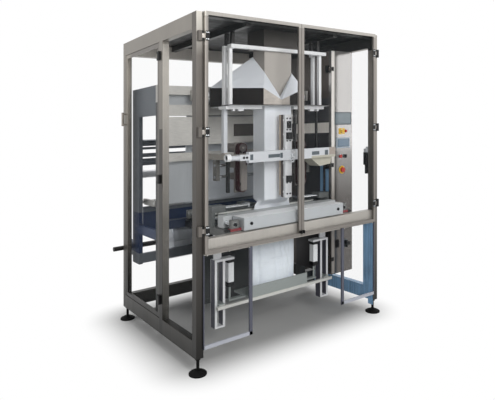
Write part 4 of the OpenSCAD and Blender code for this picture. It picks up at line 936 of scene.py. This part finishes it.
def make_screens(inset):
    """Glasses of both screens, and the lower one's pale rim"""
    low, high = measured("touch_screens")
    middle = (low[0] + high[0]) / 2
    front = low[1]
    upper_height, lower_height, lower_half = 103, 82, 75.5
    upper = low[0], high[0], high[2] - upper_height, high[2]
    lower = middle - lower_half, middle + lower_half, low[2], low[2] + lower_height
    for name, (x0, x1, z0, z1), glass, rim in (
        ("upper_display", upper, "display", inset),
        ("lower_display", lower, "display_blue", inset * 1.4),
    ):
        pair = (x0 + rim, front - 0.8, z0 + rim), (x1 - rim, front + 0.5, z1 - rim)
        blocks(name, glass, 0.5, pair, body=DOOR)
    x0, x1, z0, z1 = lower
    near, far = front - 0.5, front + 6
    blocks(
        "lower_display_rim", "pale_bezel", 1,
        ((x0 - 1, near, z0 - 1), (x1 + 1, far, z0 + inset)),
        ((x0 - 1, near, z1 - inset), (x1 + 1, far, z1 + 1)),
        ((x0 - 1, near, z0 + inset), (x0 + inset, far, z1 - inset)),
        ((x1 - inset, near, z0 + inset), (x1 + 1, far, z1 - inset)),
        body=DOOR,
    )


def make_buttons(face, edge):
    """Rings and plates round the buttons, and the pilot lamp"""
    head = 14
    rings = [
        ring(head + 0.6, head + 4, face - 3.5, face, front_middle(button), "y")
        for button in ("stop_button", "reset_button", "selector_knob")
    ]
    piece("button_rings", joined(*rings), "chrome", DOOR)
    shroud = ring(21, 32, face - 5, face, front_middle("emergency_stop"), "y", 40)
    piece("stop_shroud", shroud, "yellow", DOOR, bevel=edge)
    plate = (642, face - 2.4, 1421), (710, face - 0.2, 1470)
    blocks("reset_plate", "yellow", 0.5, plate, body=DOOR)
    plate = ring(26.6, 35, face - 2.5, face, front_middle("main_switch"), "y", 40)
    piece("switch_plate", plate, "bezel", DOOR, bevel=edge / 2)
    dome = [(0, face - 13), (6, face - 12.2), (10, face - 9.5), (12, face - 5), (12, face)]
    lamp = turned(dome, front_middle("reset_button") + [46, 0, 0], "y")
    piece("pilot_lamp", lamp, "red", DOOR)


def make_trim(face):
    """Locks, margin and folded edges of the door"""
    blocks(
        "door_locks", "black", 2,
        ((607, face - 9, 500), (641, face, 562)), ((614, face - 16, 508), (634, face - 9, 554)),
        ((744, face - 7, 500), (776, face, 528)),
        body=DOOR,
    )
    low, high = 295, 2095
    margin = (560.2, face - 0.5, low), (593, face - 0.05, high)
    blocks("door_margin", "margin", 0, margin, body=DOOR)
    folds = [((x, face - 0.6, low), (x + 3.5, face, high)) for x in (556.5, 794)]
    blocks("door_folds", "sheet", 0.25, *folds, body=DOOR)


class SEALER_OT_controls(bpy.types.Operator):
    """Make the screens' glasses, the rings round the buttons and the door's small fittings"""

    bl_idname = "sealer.controls"
    bl_label = "Controls"

    def execute(self, context):
        make_screens(context.scene.sealer_sizes.screen_inset / MM)
        make_buttons(DOOR_FACE, context.scene.sealer_sizes.edge)
        make_trim(DOOR_FACE)
        return {"FINISHED"}


class SEALER_OT_guards(bpy.types.Operator):
    """Make the clear sheets' edges and the blue film left on the steel"""

    bl_idname = "sealer.guards"
    bl_label = "Guards"

    def execute(self, context):
        face, back, low, top = -605.0, -595.0, 150.0, 721.0
        inner, outer = 410.0, 775.0
        skin, lap = 0.6, 0.2
        near = face - skin
        edges = mirrored(
            ((inner - lap, near, low), (inner + 24, back + skin, top)),
            ((outer - 6, near, low), (outer + lap, back - 1, top)),
        )
        blocks("guard_edges", "clear_edge", 0.5, *edges)
        rims = mirrored(((inner, near, low - skin), (outer, back + skin, low + 22)))
        blocks("guard_rims", "clear_rim", 0.5, *rims)
        blocks(
            "protective_film", "protective", 0.25,
            ((769.4, -545, 100.6), (770, 74, 199.4)),
            ((769.4, -594.4, 64), (770, -545.6, 712)),
            ((770.6, -545, 205), (819.4, -544.4, 712)),
            ((770, -545, 199.9), (819.4, 74, 200.6)),
            ((769.2, -544.3, 201.5), (771.6, -495, 712)),
            ((555.3, -322, 700), (556, -287, 1240)),
            ((555.3, -257, 700), (556, -224, 1240)),
        )
        return {"FINISHED"}


def fit_jaws():
    """Bolts, ribs, clamps and caps of the jaws and of the lift's cylinders"""
    bolts = cap_screws(11, 7, [(-397, -575, 863), (402, -575, 863)])
    piece("cover_bolts", bolts, "black", "front_jaw")
    blocks(
        "cover_ribs", "cover", 1 / 3,
        ((-455, -576.2, 896), (455, -575, 902)),
        ((-443, -575.8, 838), (443, -575, 842)),
        ((-443, -575.8, 826), (443, -575, 829)),
        body="front_jaw",
    )
    clamps = mirrored(
        ((446, -544.2, 820.3), (540, -540.3, 838)),
        ((446, -540.3, 820.3), (469.7, -512, 838)),
        ((530.3, -540.3, 820.3), (540, -512, 838)),
    )
    blocks("rod_clamps", "clamp", 1, *clamps)
    blocks("rod_stops", "black", 2, *mirrored(((540.3, -543, 820.3), (574, -514, 834))))
    caps = [
        ((x + x0, y0, low), (x + x1, y1, high))
        for x in (-398, 398)
        for low, high in ((390.5, 422), (557, 580))
        for x0, x1, y0, y1 in (
            (-23.5, 23.5, -336.5, -322), (-23.5, 23.5, -304, -289.5),
            (-23.5, -9, -322, -304), (9, 23.5, -322, -304),
        )
    ]
    blocks("cylinder_caps", "black", 1, *caps)
    ends = cap_screws(13, 4, [(-500, -540.2, 862), (500, -540.2, 862)])
    piece("rod_end_caps", ends, "black")


def fit_sheets():
    """Cabinet's rear flange between the cross bars, and the sheets behind the columns"""
    heights = ((295, 766), (835, 1258), (1324, 1375), (1435, 1528), (1832, 2098))
    flange = [
        ((x0, y0, low), (x1, 166, high))
        for x0, x1, y0 in ((556.2, 558.4, 75.4), (558.4, 574, 163.6))
        for low, high in heights
    ]
    blocks("cabinet_flange", "flange", 0.5, *flange)
    heights = (945, 1300), (1610, 1775)
    sheets = [((-690, 135.2, low), (-436, 137.2, high)) for low, high in heights]
    blocks("rear_sheets", "rear_sheet", 0.25, *sheets)
    # Dark plate behind the rear window: painted shade
    blocks("window_plate", "flange", 0.25, ((-104, 77, 1432.4), (100, 80, 1530.6)))


def fit_belts():
    """Tension bar and the covers in front of the belts"""
    blocks(
        "tension_bar", "black", 1,
        ((-414.6, -312, 1040), (-394, -290, 1270.8)),
        ((-414.6, -314, 1246), (-392, -288, 1270.8)),
    )
    for side, left_gap, right_gap in (("left", 16, 1), ("right", 1, 16)):
        low, high = measured(side + "_belt")
        x0, x1, front, foot, top = low[0] + left_gap, high[0] - right_gap, low[1], low[2], 1228
        blocks(
            side + "_belt_cover", "carriage", 0.25,
            ((x0, front - 2.6, foot + 12), (x1, front - 0.8, top)),
            ((x0 + 8, front - 3.2, foot + 24), (x1 - 8, front - 2.6, top - 12)),
            body=side + "_belt_unit",
        )


def fit_doors():
    """Plates and screw heads of the hinges"""
    heights = (870, 1468, 2050)
    for side, sign in (("left", -1), ("right", 1)):
        body = side + "_door"
        plates = [
            ((sign * 769.5, -622.6, z - 30), (sign * 742, -620.1, z + 30)) for z in heights
        ]
        blocks(side + "_hinge_plates", "black", 1, *plates, body=body)
        heads = [
            (sign * x, -622.6, z + step)
            for z in heights
            for x in (749.5, 762)
            for step in (-20, 20)
        ]
        heads = cap_screws(4.5, 1.6, heads)
        piece(side + "_hinge_heads", heads, "chrome", body, slot="stainless")
    squares = [((557, -352.6, z - 16), (585, -350.1, z + 16)) for z in (1951, 1173, 412)]
    blocks("cabinet_hinge_plates", "black", 1, *squares, body=DOOR)


def fit_gantry(beam):
    """Nuts under the collar, and the insets, clamp knob and screws of the gantry's beam"""
    under = measured("collar_frame")[0][2]
    nuts = [
        ((x0, -366, under - 15), (x1, -344, under)) for x0, x1 in ((386, 404), (312, 358))
    ]
    blocks("collar_nuts", "alloy", 2, *mirrored(*nuts))
    face = GANTRY_FACE
    insets = [
        ((x0, face - 0.8, beam - high), (x1, face, beam + high))
        for x0, x1, high in (
            (-368, -344, 19), (-110, -88, 18), (-215, -112, 12), (188, 262, 13), (318, 352, 18),
        )
    ]
    blocks("gantry_insets", "bezel", 1 / 3, *insets, slot="aluminium")
    end = (0, -503, beam + 4)
    rim = [(19, -536), (19, -549), (22, -551), (25, -548), (25, -520), (13, -514), (13, -500)]
    piece("clamp_knob", turned(rim, end, "x", 32), "collar")
    plug = [(0, -541), (14, -541), (18.9, -537), (18.9, -520)]
    piece("clamp_core", turned(plug, end, "x", 32), "black")
    screws = cap_screws(8, 6, [(-395, face, beam), (-420, face, beam)])
    piece("gantry_screws", screws, "black")


def fit_seal_bar(front):
    """Screws, valves and pins of the seal bar, and the door switch's actuator"""
    heads = [(x, front, z) for x in (-14, 14) for z in (1010, 1090, 1390, 1470, 1550)]
    piece("seal_screws", cap_screws(6, 5, heads), "black", "seal_bar")
    blocks(
        "seal_valves", "black", 2,
        ((-24, -500, 1400), (24, front, 1450)), ((-24, -496, 1095), (24, front, 1140)),
        ((-16, -492, 1480), (16, front, 1530)),
        body="seal_bar",
    )
    face = GANTRY_FACE
    bosses = [ring(8.3, 14, face - 6, face, (0, 0, z), "y") for z in (1250, 1290)]
    piece("pin_bosses", joined(*bosses), "chrome")
    blocks(
        "switch_actuator", "cover", 2,
        ((752, -544.5, 1270), (788, -516, 1300)), ((758, -544.5, 1300), (782, -532, 1316)),
    )


class SEALER_OT_fittings(bpy.types.Operator):
    """Make the screws, caps, knobs and blocks of the sealing group"""

    bl_idname = "sealer.fittings"
    bl_label = "Fittings"

    def execute(self, context):
        fit_jaws()
        fit_sheets()
        fit_belts()
        fit_doors()
        fit_gantry(1291)
        fit_seal_bar(-478.5)
        return {"FINISHED"}


def seen(tree):
    """1 for rays that show the background: camera, glossy and transmission rays."""
    path = node(tree, "LightPath")
    first = worked(tree, "MAXIMUM", path["Is Camera Ray"], path["Is Glossy Ray"])
    return worked(tree, "MAXIMUM", first, path["Is Transmission Ray"])


def make_world(scene):
    """White to look at, and a dim even light"""
    world = bpy.data.worlds.new("studio")
    world.use_nodes = True
    tree = world.node_tree
    back = tree.nodes["Background"]
    back.inputs["Color"].default_value = WHITE
    dim, full = 0.22, 1.0
    limits = {"To Min": dim, "To Max": full}
    strength = node(tree, "MapRange", limits, {"Value": seen(tree)})[0]
    tree.links.new(strength, back.inputs["Strength"])
    scene.world = world


def make_floor(stage):
    """Floor that keeps the shadow near the machine and goes to white away from it"""
    half = 20.0
    mesh = bpy.data.meshes.new("studio_floor")
    corners = np.array([[-1, -1, 0], [1, -1, 0], [1, 1, 0], [-1, 1, 0]]) * half
    mesh.from_pydata(corners.tolist(), [], [[0, 1, 2, 3]])
    floor = added("studio_floor", mesh)
    colour = tuple(stage.floor) + (1.0,)
    sockets = {"Base Color": colour, "Roughness": 0.9, "Specular IOR Level": 0.0}
    material, tree, shader = principled("painted_floor", sockets)
    spot = node(tree, "TexCoord")["Object"]
    kept = (0.72, 0.5, 0.0)
    away = chained(tree, spot, ("ABSOLUTE", ZERO), ("SUBTRACT", kept), ("MAXIMUM", ZERO))
    away = node(tree, "VectorMath", {"operation": "LENGTH"}, {0: away})["Value"]
    limits = {"interpolation_type": "SMOOTHSTEP", "From Min": -0.02, "From Max": 0.42}
    far = node(tree, "MapRange", limits, {"Value": away})[0]
    share = worked(tree, "MULTIPLY", far, seen(tree))
    glow = node(tree, "Emission", {"Color": WHITE, "Strength": 1.0})[0]
    mixed = node(tree, "MixShader", links={0: share, 1: shader.outputs[0], 2: glow})[0]
    tree.links.new(mixed, tree.nodes["Material Output"].inputs["Surface"])
    mesh.materials.append(material)


def make_lamps(stage):
    """Four square lamps, aimed at the middle of the machine"""
    target = Vector((0.0, 0.0, 1.0))
    for name, at, size, power in (
        ("key_lamp", (-0.9, -4.6, 2.6), 2.4, 143.0),
        ("fill_lamp", (3.4, -3.2, 2.4), 2.6, 20.0),
        ("side_lamp", (-4.2, 0.9, 2.4), 2.6, 32.0),
        ("top_lamp", (0.3, 0.6, 4.6), 3.4, 195.0),
    ):
        lamp = bpy.data.lights.new(name, "AREA")
        lamp.shape = "SQUARE"
        lamp.size = size
        lamp.energy = power * stage.lamps
        made = added(name, lamp)
        made.location = at
        made.rotation_euler = (target - Vector(at)).to_track_quat("-Z", "Y").to_euler()


def make_camera(scene, stage):
    """Level camera with a dropped lens, whose right axis leans a little"""
    lens = bpy.data.cameras.new("camera")
    lens.lens = stage.focal
    lens.shift_y = stage.drop
    rig = added("camera_rig", None)
    camera = added("camera", lens)
    sin, cos = math.sin(stage.yaw), math.cos(stage.yaw)
    matrix = np.eye(4)
    axes = [(cos, -sin, stage.lean), (0, 0, 1), (-sin, -cos, 0)]
    matrix[:3] = np.stack([*axes, tuple(stage.eye)], -1)
    camera.parent = rig
    camera.matrix_parent_inverse = Matrix(matrix.tolist())
    scene.camera = camera


class SEALER_OT_stage(bpy.types.Operator):
    """Make the floor, lamps, world and camera"""

    bl_idname = "sealer.stage"
    bl_label = "Stage"

    def execute(self, context):
        scene = context.scene
        stage = scene.sealer_stage
        scene.view_settings.view_transform = "Standard"
        make_world(scene)
        make_floor(stage)
        make_lamps(stage)
        make_camera(scene, stage)
        return {"FINISHED"}


STEPS = (
    SEALER_OT_stage, SEALER_OT_finishes, SEALER_OT_film, SEALER_OT_bag, SEALER_OT_reel,
    SEALER_OT_controls, SEALER_OT_guards, SEALER_OT_fittings,
)


class SEALER_PT_steps(bpy.types.Panel):
    """Steps that make the sealer"""

    bl_idname = "SEALER_PT_steps"
    bl_label = "Form fill sealer"
    bl_space_type = "VIEW_3D"
    bl_region_type = "UI"
    bl_category = "Sealer"

    def draw(self, context):
        for step in STEPS:
            self.layout.operator(step.bl_idname)


GROUPS = {"sealer_colours": SealerColours, "sealer_sizes": SealerSizes, "sealer_stage": SealerStage}


def register():
    for made in (*GROUPS.values(), *STEPS, SEALER_PT_steps):
        bpy.utils.register_class(made)
    for name, group in GROUPS.items():
        setattr(bpy.types.Scene, name, bpy.props.PointerProperty(type=group))


def unregister():
    for name in GROUPS:
        delattr(bpy.types.Scene, name)
    for made in (SEALER_PT_steps, *reversed(STEPS), *GROUPS.values()):
        bpy.utils.unregister_class(made)


def main():
    register()
    for step in STEPS:
        group, name = step.bl_idname.split(".")
        getattr(getattr(bpy.ops, group), name)()


if __name__ == "__main__":
    main()
